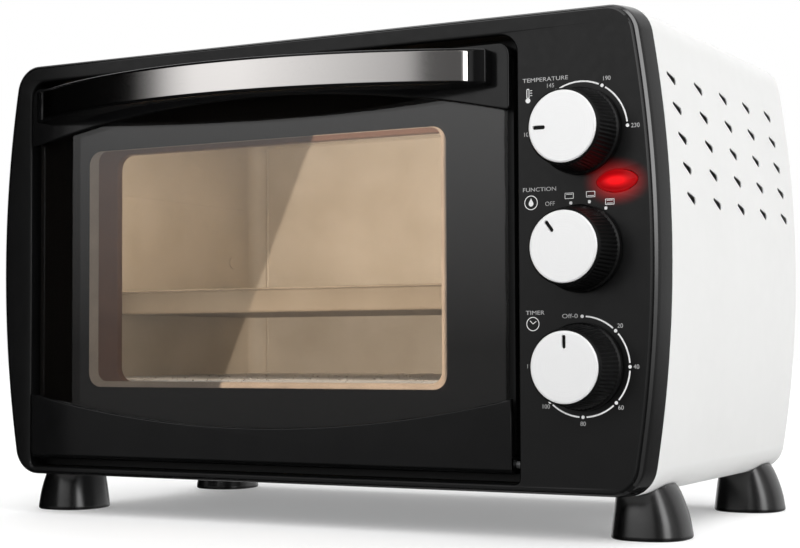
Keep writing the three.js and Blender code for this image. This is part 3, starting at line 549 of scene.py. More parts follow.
def foot(end, side, sign):
    """Moulded foot that hugs the casing's lower corner, domed on its outer side."""
    x, y = sign * FOOT_PLACES["x"], FOOT_PLACES[end]
    surface = Surface("top")
    # Height above the floor, half width, half depth and the share that the outer side is tucked in.
    levels = [(0, 18.4, 19.1, 0), (0.3, 18.9, 19.6, 0), (1.0, 19.3, 20.0, 0), (2.2, 19.2, 19.9, 0),
              (8, 18.4, 19.3, 0.01), (12, 17.9, 18.8, 0.04), (16, 17.4, 18.2, 0.09),
              (19.5, 17.0, 17.4, 0.15), (22.5, 16.8, 16.6, 0.22), (24.8, 16.6, 15.6, 0.29),
              (26.4, 16.4, 14.6, 0.36), (27.2, 16.0, 13.6, 0.43), (27.5, 15.2, 12.2, 0.52)]
    rings = [surface.ring(foot_plan(x, y, a, b, tuck), z) for z, a, b, tuck in levels]
    surface.closed(rings)
    item = surface.piece(f"foot_moulding_{end}_{side}", "root", "gloss_black", [f"foot_{end}_{side}"])
    cutter = Surface()
    cutter.cut(casing_outline(-GAP), 0, 240)
    cutter.cut(circle(x, y, 5, 24), -1, 14, "top")
    cutter.cut(circle(x, y, FOOT_SCREW_HOLE, 20), 10, 30, "top")
    return carve(item, tool(cutter))


def screw(name, nodes, body, centre, axis, head, shank, length):
    """Pan-head screw with a cross recess; axis is (plane, way its shank points)."""
    plane, way = axis
    u, v, seat = centre
    head_radius, head_height = head
    surface = Surface(plane)
    profile = [(head_radius * 0.55, seat - way * head_height),
               (head_radius * 0.8, seat - way * head_height * 0.93),
               (head_radius * 0.95, seat - way * head_height * 0.6), (head_radius, seat - way * 0.25),
               (head_radius - 0.2, seat), (shank, seat + way * 0.01), (shank, seat + way * (length - 0.6)),
               (shank * 0.6, seat + way * length)]
    surface.lathe(profile, 28, (u, v))
    item = surface.piece(name, body, "fastener_steel", nodes)
    cross = Surface(plane)
    top = seat - way * head_height
    near, far = sorted((top - way, top + way * head_height * 0.55))
    long, short = head_radius * 0.55, 0.45
    quarter = [(short, short), (short, long), (-short, long)]
    turns = ((1, 0), (0, 1), (-1, 0), (0, -1))
    arms = [(a * c - b * s, a * s + b * c) for c, s in turns for a, b in quarter]
    cross.cut([(u + a, v + b) for a, b in arms], near, far)
    return carve(item, tool(cross))


def cord_gland():
    """Grommet in the rear cover: an inner collar, a flange and a ridged barrel round the cable's bore."""
    rear, x, z = CASING["rear"], GLAND["x"], GLAND["z"]
    surface = Surface()
    outside = [(GLAND["barrel"] - 1, rear - 8), (GLAND["barrel"] - 1, rear + GAP),
               (GLAND["flange"] - 0.4, rear + GAP), (GLAND["flange"], rear + 0.7),
               (GLAND["flange"], rear + 2.6), (GLAND["flange"] - 0.5, rear + 3)]
    for i in range(3):
        y = rear + 3.2 + i * 1.6
        outside += [(GLAND["barrel"], y), (GLAND["barrel"], y + 0.9), (GLAND["barrel"] - 0.6, y + 1.1),
                    (GLAND["barrel"] - 0.6, y + 1.4)]
    outside += [(GLAND["barrel"], GLAND["end"] - 0.5), (GLAND["barrel"] - 0.5, GLAND["end"]),
                (GLAND["bore"] + 0.4, GLAND["end"]), (GLAND["bore"], GLAND["end"] - 0.4),
                (GLAND["bore"], rear - 8)]
    rings = [surface.ring(circle(x, z, radius, 40), y) for radius, y in outside]
    surface.walls(rings, closed=True)
    return surface.piece("gland_moulding", "root", "satin_black", ["cord_gland"])


def casing_pieces():
    front_bezel()
    outer_shell()
    base_plate()
    rear_panel()
    cord_gland()
    for side, sign in SIDES:
        for end in ("front", "rear"):
            foot(end, side, sign)
            place = (sign * FOOT_PLACES["x"], FOOT_PLACES[end], 13.7)
            screw(f"foot_fixing_{end}_{side}", [f"foot_screw_{end}_{side}"], "root", place, ("top", 1),
                  (4.2, 2.4), 2, 10)
        for end in ("top", "bottom"):
            place = (sign * REAR_SCREWS["x"], REAR_SCREWS[end], CASING["rear"] + GAP)
            screw(f"cover_fixing_{end}_{side}", [f"rear_screw_{end}_{side}"], "root", place, ("front", -1),
                  (3.6, 2.0), 1.6, 8)


# ---------------------------------------------------------------- door


def trim_curve(crown, rise, steps=48):
    """Points along the arch (crown above its ends) or the dish of a door trim, from left to right."""
    radius = (DOOR_HALF ** 2 + rise ** 2) / (2 * abs(rise))
    sweep = math.asin(DOOR_HALF / radius)
    up = math.copysign(math.pi / 2, rise)
    centre = crown - math.copysign(radius, rise)
    turn = math.copysign(sweep, rise)
    return arc(DOOR_MID, centre, radius, up + turn, up - turn, steps)


def handle_holes(radius):
    """Round holes for the two screws that hold the handle."""
    return [circle(x, HANDLE_SCREW_Z, radius, 20) for x in HANDLE_SCREWS.values()]


def door_top_trim():
    """Upper trim with its arched lower edge, and the cap that reaches back over the glass."""
    surface = Surface()
    top, corner = DOOR["top"], 6.0
    curve = trim_curve(TOP_TRIM["crown"], TOP_TRIM["rise"])
    tip = 1.8
    ends_z = curve[0][1]
    shoulders = (arc(DOOR["right"] - corner, top - corner, corner, 0, math.pi / 2, 8)
                 + arc(DOOR["left"] + corner, top - corner, corner, math.pi / 2, math.pi, 8))
    outline = (shoulders
               + arc(DOOR["left"] + tip, ends_z + tip + 0.4, tip, math.pi, 1.42 * math.pi, 5)
               + curve[1:-1]
               + arc(DOOR["right"] - tip, ends_z + tip + 0.4, tip, 1.58 * math.pi, 2 * math.pi, 5))
    holes = handle_holes(2.3)
    surface.slab(outline, DOOR["front"], GLASS["front"] - GAP, holes, edges=(0.8, 0.15), steps=4)
    cap = shoulders + [(DOOR["left"] + 0.6, GLASS["top"] + GAP), (DOOR["right"] - 0.6, GLASS["top"] + GAP)]
    surface.slab(cap, GLASS["front"] - 0.8, DOOR["rear"], edges=(0, 0.6))
    return surface.piece("top_trim_moulding", "door", "gloss_black", ["door_top_trim"])


def door_bottom_trim():
    """Lower trim with its dished edge, over a sill that is rounded off along its toe."""
    surface = Surface()
    curve = trim_curve(BOTTOM_TRIM["crown"], -BOTTOM_TRIM["rise"])
    outline = ([(DOOR["left"], DOOR["bottom"] + 2.2), (DOOR["left"] + 0.8, DOOR["bottom"] + 1.9),
                (DOOR["right"] - 0.8, DOOR["bottom"] + 1.9), (DOOR["right"], DOOR["bottom"] + 2.2)]
               + curve[::-1])
    surface.slab(outline, DOOR["front"], GLASS["front"] - GAP, edges=(0.8, 0.15), steps=4)
    y0, y1, z0, z1 = DOOR["front"], DOOR["rear"], DOOR["bottom"], 39.7
    toe = [(y0 + 0.5, z1), (y0 + 0.2, z0 + 2.4), (y0 + 0.9, z0 + 1.1), (y0 + 2.4, z0 + 0.1), (y1 - 1, z0),
           (y1 - 0.2, z0 + 0.5), (y1, z0 + 1.5), (y1, z1 - 0.6), (y1 - 0.6, z1)]
    surface.slab(toe, DOOR["left"], DOOR["right"], edges=(0.4, 0.4), plane="side")
    item = surface.piece("bottom_trim_moulding", "door", "gloss_black", ["door_bottom_trim"])
    bores = Surface("side")
    for x0, x1 in ((DOOR["left"] - 1, DOOR["left"] + 11.3), (DOOR["right"] - 11.3, DOOR["right"] + 1)):
        bores.cut(pin_bore(), x0, x1)
    return carve(item, tool(bores))


def pane_outline(margin=0.0):
    left, right = DOOR["left"] + GLASS["margin"] + margin, DOOR["right"] - GLASS["margin"] - margin
    return rounded(left, right, GLASS["bottom"] + margin, GLASS["top"] - margin, 3.0, 5)


def door_glass():
    """The pane, the dark border printed on its back and the pale seal that shows round its window."""
    pane = Surface().slab(pane_outline(), GLASS["front"], GLASS["rear"], handle_holes(3), edges=(0.5, 0.5))
    pane.piece("glass_pane", "door", "door_glass", ["door_glass"])
    window, back = framed(CLEAR, CLEAR["corner"]), GLASS["rear"]
    border = Surface().slab(pane_outline(0.8), back + 0.08, back + 0.2, [window] + handle_holes(3.2),
                            edges=NO_EDGES)
    border.piece("glass_border_print", "door", "gloss_black")
    seal = Surface().slab(framed(CLEAR, CLEAR["corner"], margin=-3), back + 0.21, back + 0.28,
                          [framed(SEAL, SEAL["corner"])], edges=NO_EDGES)
    seal.piece("window_seal", "door", "inner_plastic")


def door_inner_frame():
    """Pressed frame behind the glass: a flat ring with lips turned back round its window and its edge."""
    surface = Surface()
    back, plate = GLASS["rear"] + GAP, 1.2
    outer = rounded(DOOR["left"] + 0.3, DOOR["right"] - 0.3, 40.0, GLASS["top"], 2.5, 4)
    window = framed(WINDOW, WINDOW["corner"])
    outer_profile = [(back, 0.4), (back + 0.3, 0.1), (back + 0.8, 0), (DOOR["rear"] - 0.2, 0),
                     (DOOR["rear"], 0.25), (DOOR["rear"], plate - 0.2), (DOOR["rear"] - 0.2, plate),
                     (back + plate + 0.8, plate), (back + plate, plate + 0.8)]
    outside = [surface.ring(inset(outer, draw), y) for y, draw in outer_profile]
    inner_profile = [(back, -0.5), (back + 0.4, -0.1), (back + 1.0, 0), (DOOR["rear"] - 0.2, 0),
                     (DOOR["rear"], -0.25), (DOOR["rear"], -plate + 0.2), (DOOR["rear"] - 0.2, -plate),
                     (back + plate + 0.8, -plate), (back + plate, -plate - 0.8)]
    inside = [surface.ring(inset(window, draw), y) for y, draw in inner_profile]
    surface.walls(outside)
    surface.walls(inside)
    surface.cap(outside[0], inside[0])
    surface.cap(outside[-1], inside[-1])
    return surface.piece("inner_frame_pressing", "door", "dark_enamel", ["door_inner_frame"], crease=40)


def bow_slice(half_span, front_offset, depth, steps=64):
    """Plan outline that follows the handle's front face, a depth thick."""
    centre_y, radius, _ = bow_arc(HANDLE)
    sweep = math.asin(half_span / radius)
    down = -math.pi / 2
    outer = radius + front_offset
    return (arc(DOOR_MID, centre_y, outer, down - sweep, down + sweep, steps)
            + arc(DOOR_MID, centre_y, outer - depth, down + sweep, down - sweep, steps))


def strip_plan(steps=96, proud=0.2, turned=4.2, dip=1.0):
    """Plan of the handle's strip: it stands slightly proud and its two ends turn back into the grip."""
    centre_y, radius, _ = bow_arc(HANDLE)
    sweep = math.asin(STRIP["half_span"] / radius)
    front = []
    for i in range(steps + 1):
        angle = sweep * math.sin(math.pi * (i / steps - 0.5))
        bend = max(0.0, 1 - (sweep - abs(angle)) * radius / turned)
        reach = radius + proud - dip * bend ** 2
        front.append((DOOR_MID + reach * math.sin(angle), centre_y - reach * math.cos(angle)))
    down = -math.pi / 2
    return front + arc(DOOR_MID, centre_y, radius - STRIP["depth"], down + sweep, down - sweep, steps)


def handle_outline(steps=64):
    """Plan of the bow: the front arc out to both feet and the flatter arc behind it."""
    down = -math.pi / 2
    cy, radius, sweep = bow_arc(HANDLE)
    iy, inner, turn = bow_arc(HANDLE_INNER)
    front = arc(DOOR_MID, cy, radius, down - sweep, down + sweep, steps)
    rear = arc(DOOR_MID, iy, inner, down + turn, down - turn, steps)
    right = arc(front[-1][0] - 0.8, front[-1][1] + 1.2, 1.2, -0.6, 0, 4)
    left = arc(front[0][0] + 0.8, front[0][1] + 1.2, 1.2, math.pi, math.pi + 0.6, 4)
    x_out = HANDLE["half_span"] + 0.35
    return cleaned(front + right + [(DOOR_MID + x_out, HANDLE["back"])] + rear
                   + [(DOOR_MID - x_out, HANDLE["back"])] + left)


def door_handle():
    """Bowed grip with a pocket along its front, and the steel strip that is let into it."""
    bow = Surface("top").slab(handle_outline(), HANDLE["bottom"], HANDLE["top"], edges=(1.4, 1.4), steps=5)
    grip = bow.piece("handle_moulding", "door", "gloss_black", ["handle_grip"])
    pocket = Surface("top").slab(bow_slice(STRIP["half_span"] + GAP, 2, 2 + STRIP["depth"] + GAP),
                                 STRIP["bottom"] - GAP, STRIP["top"] + GAP, edges=NO_EDGES)
    for hole in handle_holes(2.3):
        pocket.cut(hole, -9, 0, "front")
    carve(grip, tool(pocket))
    plate = Surface("top").slab(strip_plan(), STRIP["bottom"], STRIP["top"], edges=(0.35, 0.35), steps=3)
    plate.piece("handle_plate", "door", "brushed_steel", ["handle_strip"])


def hinge_pins():
    """The two pins that the door hangs on, seen at the ends of the gap along its bottom."""
    reach = HINGE["reach"]
    ends = {"left": (-183.2, DOOR["left"] + reach), "right": (DOOR["right"] - reach, 132.7)}
    for side, (x0, x1) in ends.items():
        surface = Surface("side").slab(circle(HINGE["y"], HINGE["z"], HINGE["radius"], 28), x0, x1,
                                       edges=(0.3, 0.3))
        surface.piece(f"pivot_pin_{side}", "door", "zinc_steel", [f"hinge_pin_{side}"])


def door_pieces():
    door_top_trim()
    door_bottom_trim()
    door_glass()
    door_inner_frame()
    door_handle()
    hinge_pins()
    for side, x in HANDLE_SCREWS.items():
        screw(f"handle_fixing_{side}", [f"handle_screw_{side}"], "door", (x, HANDLE_SCREW_Z, 6.8),
              ("front", -1), (3.6, 2.0), 1.9, 14)


# ---------------------------------------------------------------- controls


def knob_radius(index, radius, groove):
    """Radius at one step round a knob: two steps out and two in for each of its ridges."""
    return radius - (groove if index % 4 in (2, 3) else 0)


def knob_body(name):
    """Tapered body with fine ridges, a smooth skirt at its foot and a round shoulder at its tip."""
    steps = KNOB["ridges"] * 4
    turn = [2 * math.pi * (i - 0.3 * (i % 2)) / steps for i in range(steps)]
    profile = [(0.8, 20.6, 0), (1.0, 20.9, 0), (1.4, 21.0, 0), (3.4, 21.0, 0), (3.8, 20.8, 0),
               (4.1, 20.4, 0), (4.5, 20.15, 0.3), (5.0, 20.1, 0.42), (19.2, 18.42, 0.42), (19.8, 18.3, 0.3),
               (20.4, 18.15, 0.1), (21.2, 18.0, 0), (21.7, 17.8, 0), (21.95, 17.55, 0), (22.0, 17.3, 0),
               (21.0, 17.3, 0)]
    surface = Surface("top")
    rings = [surface.ring([(knob_radius(i, radius, groove) * math.cos(a),
                            knob_radius(i, radius, groove) * math.sin(a)) for i, a in enumerate(turn)], z)
             for z, radius, groove in profile]
    surface.walls(rings)
    bore = [surface.ring(circle(0, 0, 3.3, steps), z) for z in (0.8, 16.0)]
    surface.walls(bore)
    surface.cap(rings[0], bore[0])
    surface.cap(bore[1])
    surface.cap(rings[-1])
    return stand_up(surface, f"{name}_knob_moulding", name, "satin_black", f"{name}_knob", crease=28)


def knob_cap(name):
    """Spun cap, very slightly domed, with its rounded pointer slot cut through to the black seat."""
    surface = Surface("top")
    base, top, edge = 21.3, 22.75, KNOB["cap"]
    slot = slot_outline(0, edge - 5.2, 6.4, 1.9, math.pi / 2, 8)
    profile = [(base, edge - 0.2), (base + 0.2, edge), (base + 0.9, edge), (top - 0.3, edge - 0.15),
               (top - 0.08, edge - 0.45), (top - 0.02, edge - 0.9)]
    rings = [surface.ring(circle(0, 0, radius, 96), z) for z, radius in profile]
    surface.walls(rings)
    levels = (base, 0), (top - 0.3, 0), (top - 0.02, 0.2)
    cuts = [surface.ring(inset(slot, -back), z) for z, back in levels]
    surface.walls(cuts)
    surface.cap(rings[0], cuts[0])
    surface.cap(rings[-1], cuts[-1])
    return stand_up(surface, f"{name}_cap_disc", name, "knob_metal", f"{name}_knob_cap")


def knob_shaft(name):
    """Round spindle with a flat along its outer part, where the knob sits."""
    surface = Surface("top")
    profile = [(-19.0, 2.6), (-18.6, 3.0), (5.0, 3.0)]
    rings = [surface.ring(circle(0, 0, radius, 32), z) for z, radius in profile]
    flat = [(x, min(y, 2.0)) for x, y in circle(0, 0, 3.0, 32)]
    rings += [surface.ring(flat, 5.0), surface.ring(flat, 13.8)]
    rings.append(surface.ring(inset(cleaned(flat), 0.4), 14.2))
    surface.closed(rings)
    return stand_up(surface, f"{name}_spindle", name, "fastener_steel", f"{name}_shaft")


def stand_up(surface, piece_name, name, slot, node, crease=32):
    """Turn a piece drawn along +Z to face the user at its knob's angle, with its origin on the axis."""
    angle = math.radians(POINTERS[name])
    for vertex in surface.mesh.verts:
        u, v, out = vertex.co
        x = u * math.cos(angle) + v * math.sin(angle)
        z = v * math.cos(angle) - u * math.sin(angle)
        vertex.co = (x, -out, z)
    origin = (KNOB["x"], 0, KNOB_HEIGHTS[name])
    return surface.piece(piece_name, KNOB_BODIES[name], slot, [node], crease, origin)


def indicator_lens():
    """Domed red lens with a narrow flat rim, over a straight stem."""
    surface = Surface()
    outline = lens_outline()
    profile = [(LENS["rear"], 0), (0, 0), (-0.5, 0.05), (-0.6, 0.25), (-0.62, 0.8), (-0.8, 1.2),
               (-1.15, 1.9), (-1.4, 2.7), (-1.55, 3.6), (-1.6, 4.4)]
    rings = []
    for y, back in profile:
        scale_x = 1 - back / LENS["half_width"]
        scale_z = 1 - back / LENS["half_height"]
        points = [((x - LENS["x"]) * scale_x, (z - LENS["z"]) * scale_z) for x, z in outline]
        rings.append(surface.ring(points, y))
    surface.closed(rings)
    return surface.piece("lens_moulding", "root", "indicator", ["indicator_lens"], 60,
                         (LENS["x"], 0, LENS["z"]))


# ---------------------------------------------------------------- prints on the panel

PRINT = (-0.07, 0.03)


def add_print(surface, outline, holes=()):
    surface.slab(outline, *PRINT, holes, edges=(0, 0), plane="front")


def add_text(surface, words, x, z, height, width=None):
    """Letters in the built-in font, centred on a point and spread to a width if one is given."""
    curve = bpy.data.curves.new("letters", "FONT")
    curve.body = words
    curve.align_x = "CENTER"
    curve.align_y = "CENTER"
    curve.size = height * 1.4
    curve.extrude = 0.04
    holder = bpy.data.objects.new("letters", curve)
    data = bpy.data.meshes.new_from_object(holder)
    start = len(surface.mesh.verts)
    surface.mesh.from_mesh(data)
    surface.mesh.verts.ensure_lookup_table()
    letters = surface.mesh.verts[start:]
    span = max(v.co.x for v in letters) - min(v.co.x for v in letters)
    stretch = width / span if width else 1
    for vertex in letters:
        across, up, out = vertex.co
        vertex.co = (x + across * stretch, -0.03 - out, z + up)
    bpy.data.objects.remove(holder)


def band(cx, cz, radius, width, start, end, steps=24):
    """A strip of ring between two angles clockwise from upright, in degrees."""
    a, b = math.radians(90 - start), math.radians(90 - end)
    return arc(cx, cz, radius + width / 2, a, b, steps) + arc(cx, cz, radius - width / 2, b, a, steps)


def around(name, degrees, radius):
    """Place of a mark round a knob, at an angle clockwise from upright."""
    turn = math.radians(degrees)
    return KNOB["x"] + radius * math.sin(turn), KNOB_HEIGHTS[name] + radius * math.cos(turn)


def dial_arc(surface, name, stops, ring=23.9, width=0.75):
    """A printed ring broken at each stop by a dot."""
    z = KNOB_HEIGHTS[name]
    for start, end in zip(stops, stops[1:]):
        add_print(surface, band(KNOB["x"], z, ring, width, start + 4.4, end - 4.4))
    for stop in stops:
        add_print(surface, circle(*around(name, stop, ring), 0.85, 16))


def ring_print(surface, x, z, radius, width):
    add_print(surface, circle(x, z, radius, 32), [circle(x, z, radius - width, 32)])


def oven_icon(surface, x, z, half_width, half_height, marks):
    """A small outline of an oven, with a bar along its top, its bottom or both for the heat."""
    outer = rounded(x - half_width, x + half_width, z - half_height, z + half_height, 0.3, 3)
    inner = rounded(x - half_width + 0.28, x + half_width - 0.28, z - half_height + 0.28,
                    z + half_height - 0.28, 0.15, 3)
    add_print(surface, outer, [inner])
    for mark in marks:
        level = z + mark * (half_height - 0.75)
        add_print(surface, rounded(x - half_width + 0.7, x + half_width - 0.7, level - 0.16, level + 0.16,
                                   0.1, 2))


def thermometer_icon(surface, x, z):
    add_print(surface, rounded(x - 0.75, x + 0.75, z - 0.5, z + 4.4, 0.7, 5),
              [rounded(x - 0.4, x + 0.4, z, z + 4.0, 0.35, 4)])
    add_print(surface, circle(x, z - 1.4, 1.25, 20))
    for level in (1.0, 2.2, 3.4):
        add_print(surface, rounded(x + 1.2, x + 2.3, z + level - 0.15, z + level + 0.15, 0.1, 2))


def drop_icon(surface, x, z):
    ring_print(surface, x, z, 3.5, 0.35)
    tip = (x, z + 2.2)
    add_print(surface, arc(x, z - 0.55, 1.25, math.radians(150), math.radians(390), 16) + [tip])


def clock_icon(surface, x, z):
    ring_print(surface, x, z, 3.4, 0.35)
    add_print(surface, slot_outline(x - 0.7, z + 0.75, 2.4, 0.35, math.radians(135), 4))
    add_print(surface, slot_outline(x + 0.85, z + 0.6, 2.4, 0.35, math.radians(35), 4))


def panel_prints():
    """White marks round the knobs: dial rings, numbers, plain captions and small icons."""
    surface, captions = Surface(), Surface()
    dial_arc(surface, "temperature", [-31, 28, 87])
    for degrees, number in ((-90, "100"), (-34, "145"), (29, "190"), (88, "230")):
        add_text(captions, number, *around("temperature", degrees, 27.8), 2.1)
    dial_arc(surface, "timer", [0, 45, 90, 135, 180, 225])
    for degrees, number in ((45, "20"), (90, "40"), (135, "60"), (180, "80"), (225, "100"), (270, "120")):
        add_text(captions, number, *around("timer", degrees, 27.1), 2.1)
    add_text(captions, "Off-0", 155.0, 107.8, 2.1, 8.0)
    for degrees, marks in ((-13.5, (1,)), (10.8, (-1,)), (33.8, (1, -1))):
        x, z = around("function", degrees, 22.6)
        add_print(surface, rounded(x - 0.75, x + 0.75, z - 0.75, z + 0.75, 0.5, 4))
        x, z = around("function", degrees, 26.2)
        oven_icon(surface, x, z, 2.3, 1.45, marks)
    add_text(captions, "OFF", *around("function", -36.2, 27.3), 2.1, 5.0)
    for words, x, z, width in (("TEMPERATURE", 143.2, 222.3, 23.9), ("FUNCTION", 139.7, 169.1, 17.4),
                               ("TIMER", 136.9, 109.6, 9.8)):
        add_text(captions, words, x, z, 2.0, width)
    thermometer_icon(surface, 134.0, 214.0)
    drop_icon(surface, 135.2, 162.9)
    clock_icon(surface, 135.7, 104.3)
    surface.piece("panel_prints", "root", "white_shell", crease=20)
    captions.piece("panel_captions", "root", "white_shell", crease=20)


def control_pieces():
    indicator_lens()
    for name in KNOB_HEIGHTS:
        knob_body(name)
        knob_cap(name)
        knob_shaft(name)
    panel_prints()


# ---------------------------------------------------------------- oven cavity


def oven_cavity():
    """Folded liner with a flange in front, a pressed bead round its rear wall and holes for the tubes."""
    surface = Surface()
    inner, flange = framed(CAVITY, 1.6, 4), framed(FLANGE, 3, 4)
    front, rear, fold = CAVITY["front"], CAVITY["rear"], 9.0
    bead = ((rear, 10.2), (rear - 0.7, 10.5), (rear - 1.1, 11.2), (rear - 0.7, 11.9), (rear, 12.2))
    levels = [(front, flange, 0.2), (front + 1, flange, 0)]
    rings = [surface.ring(inset(outline, back), y) for y, outline, back in levels]
    rings += [surface.ring(inset(inner, -1), y) for y in (front + 1, rear)]
    surface.wall(rings[0], rings[1])
    surface.wall(rings[2], rings[3])
    lip = [surface.ring(inset(inner, -back), y) for y, back in ((front, 0.5), (front + 0.5, 0))]
    turns = [math.pi / 16 * step for step in range(9)]
    bend = [(rear - fold * (1 - math.sin(turn)), fold * (1 - math.cos(turn))) for turn in turns]
    corner = [surface.ring(framed(CAVITY, 1.6, 4, back), y) for y, back in bend + list(bead)]
    surface.walls(lip + corner)
    surface.cap(rings[0], lip[0])
    surface.cap(rings[1], rings[2])
    surface.cap(corner[-1])
    back = surface.ring(inset(inner, -0.4), rear + 1)
    surface.wall(rings[3], back)
    surface.cap(back)
    item = surface.piece("cavity_liner", "root", "cavity_steel", ["oven_cavity"])
    holes = Surface("side")
    for z in ELEMENTS["rows"].values():
        for y in ELEMENTS["depths"].values():
            for x in (CAVITY["left"], CAVITY["right"]):
                holes.cut(circle(y, z, ELEMENTS["radius"] + 1, 28), x - 3, x + 3)
    return carve(item, tool(holes))


def heating_tube(row, place):
    """Straight tube across the cavity, stepped down to its terminals at both ends."""
    y, z = ELEMENTS["depths"][place], ELEMENTS["rows"][row]
    reach = CAVITY_HALF + 6
    profile = [(1.2, -reach - 9), (1.6, -reach - 8.6), (1.6, -reach), (3.4, -reach), (4.0, -reach + 0.5)]
    both = profile + [(radius, -x) for radius, x in reversed(profile)]
    surface = Surface("side").lathe([(radius, CAVITY_MID + x) for radius, x in both], 28, (y, z))
    return surface.piece(f"{row}_tube_{place}", "root", "element_steel", [f"{row}_element_{place}"])


def element_holder(row, side, sign):
    """Ceramic block outside one wall of the cavity, with the seats of two tubes."""
    z = ELEMENTS["rows"][row]
    wall = CAVITY_MID + sign * (CAVITY_HALF + 1.3)
    low, high = sorted((wall, wall + sign * 7))
    seats = [circle(y, z, ELEMENTS["radius"] + GAP, 28) for y in ELEMENTS["depths"].values()]
    outline = rounded(61, 163, z - 7, z + 7, 3.5, 6)
    surface = Surface("side").slab(outline, low, high, seats, edges=(0.6, 0.6))
    return surface.piece(f"{row}_insulator_{side}", "root", "ceramic", [f"{row}_element_holder_{side}"])


def rack_guide(side, sign):
    """Pressed guide plate with two rolled ledges and two screw dimples."""
    wall = CAVITY_HALF - GAP
    surface = Surface("side")
    p0, p1 = sorted((CAVITY_MID + sign * wall, CAVITY_MID + sign * (wall - 0.8)))
    surface.slab(rounded(22, 204, 64, 186, 5, 6), p0, p1, edges=(0.2, 0.2))
    l0, l1 = sorted((CAVITY_MID + sign * (wall - 0.6), CAVITY_MID + sign * (wall - 8)))
    for top in LEDGES:
        surface.slab(rounded(l0, l1, top - 1.4, top, 0.5, 3), 20, 204, edges=(0.4, 0.4), plane="front")
    d0, d1 = sorted((CAVITY_MID + sign * (wall - 0.7), CAVITY_MID + sign * (wall - 1.5)))
    for y in (40, 186):
        surface.slab(circle(y, 150, 4, 24), d0, d1, edges=(0.3, 0.3))
    return surface.piece(f"guide_pressing_{side}", "root", "cavity_steel", [f"rack_guide_{side}"])


def wire_rack():
    """Frame of heavy wire with lighter wires run front to back and welded on top of it."""
    half = CAVITY_HALF - 2.5
    wire, rod = 1.7, 1.3
    z = LEDGES[0] + GAP + wire
    outline = rounded(CAVITY_MID - half + wire, CAVITY_MID + half - wire, 24 + wire, 202 - wire, 7, 6)
    surface = Surface("top")
    surface.tube([(x, y, z) for x, y in cleaned(outline)], wire, 14, closed=True)
    pitch = 2 * half / (RODS + 1)
    for i in range(RODS):
        x = CAVITY_MID - half + (i + 1) * pitch
        surface.tube([(x, 25.4, z + 0.9), (x, 200.6, z + 0.9)], rod, 10)
    return surface.piece("rack_wires", "rack", "fastener_steel", ["wire_rack"], crease=50)


def baking_tray():
    """Pressed pan with sloped walls, soft corners and a flat rim that is rolled at its edge."""
    top = LEDGES[1] + GAP + 1
    half, pan = CAVITY_HALF - 2.5, CAVITY_HALF - 10.3
    surface = Surface("top")

    def loop(half_width, back, radius, z):
        return surface.ring(rounded(CAVITY_MID - half_width, CAVITY_MID + half_width, 24 + back, 200 - back,
                                    radius, 8), z)

    inside = [(half - 0.3, 0.3, 9.7, top), (pan - 0.6, 9.6, 15.4, top), (pan - 1.2, 10.2, 14.8, top - 0.25),
              (pan - 1.6, 10.7, 14.4, top - 0.9), (pan - 4.2, 13.9, 13.2, top - 10),
              (pan - 5.0, 14.8, 12.4, top - 11.4), (pan - 6.4, 16.2, 11.0, top - 12)]
    outside = [(pan - 6.4, 16.2, 11.0, top - 13), (pan - 4.6, 14.5, 13.0, top - 12.6),
               (pan - 3.9, 13.6, 14, top - 11.2),
               (pan - 0.8, 10.0, 15.6, top - 1.6), (pan, 9.0, 16, top - 1), (half - 0.3, 0.3, 9.7, top - 1),
               (half, 0, 10, top - 0.7), (half, 0, 10, top - 0.3)]
    rings = [loop(*level) for level in inside]
    under = [loop(*level) for level in outside]
    surface.walls(rings)
    surface.walls(under)
    surface.wall(under[-1], rings[0])
    surface.cap(rings[-1])
    surface.cap(under[0])
    return surface.piece("tray_pressing", "tray", "cavity_steel", ["baking_tray"], crease=50)


def cavity_pieces():
    oven_cavity()
    for row in ELEMENTS["rows"]:
        for place in ELEMENTS["depths"]:
            heating_tube(row, place)
        for side, sign in SIDES:
            element_holder(row, side, sign)
    for side, sign in SIDES:
        rack_guide(side, sign)
    wire_rack()
    baking_tray()


# ---------------------------------------------------------------- finishes


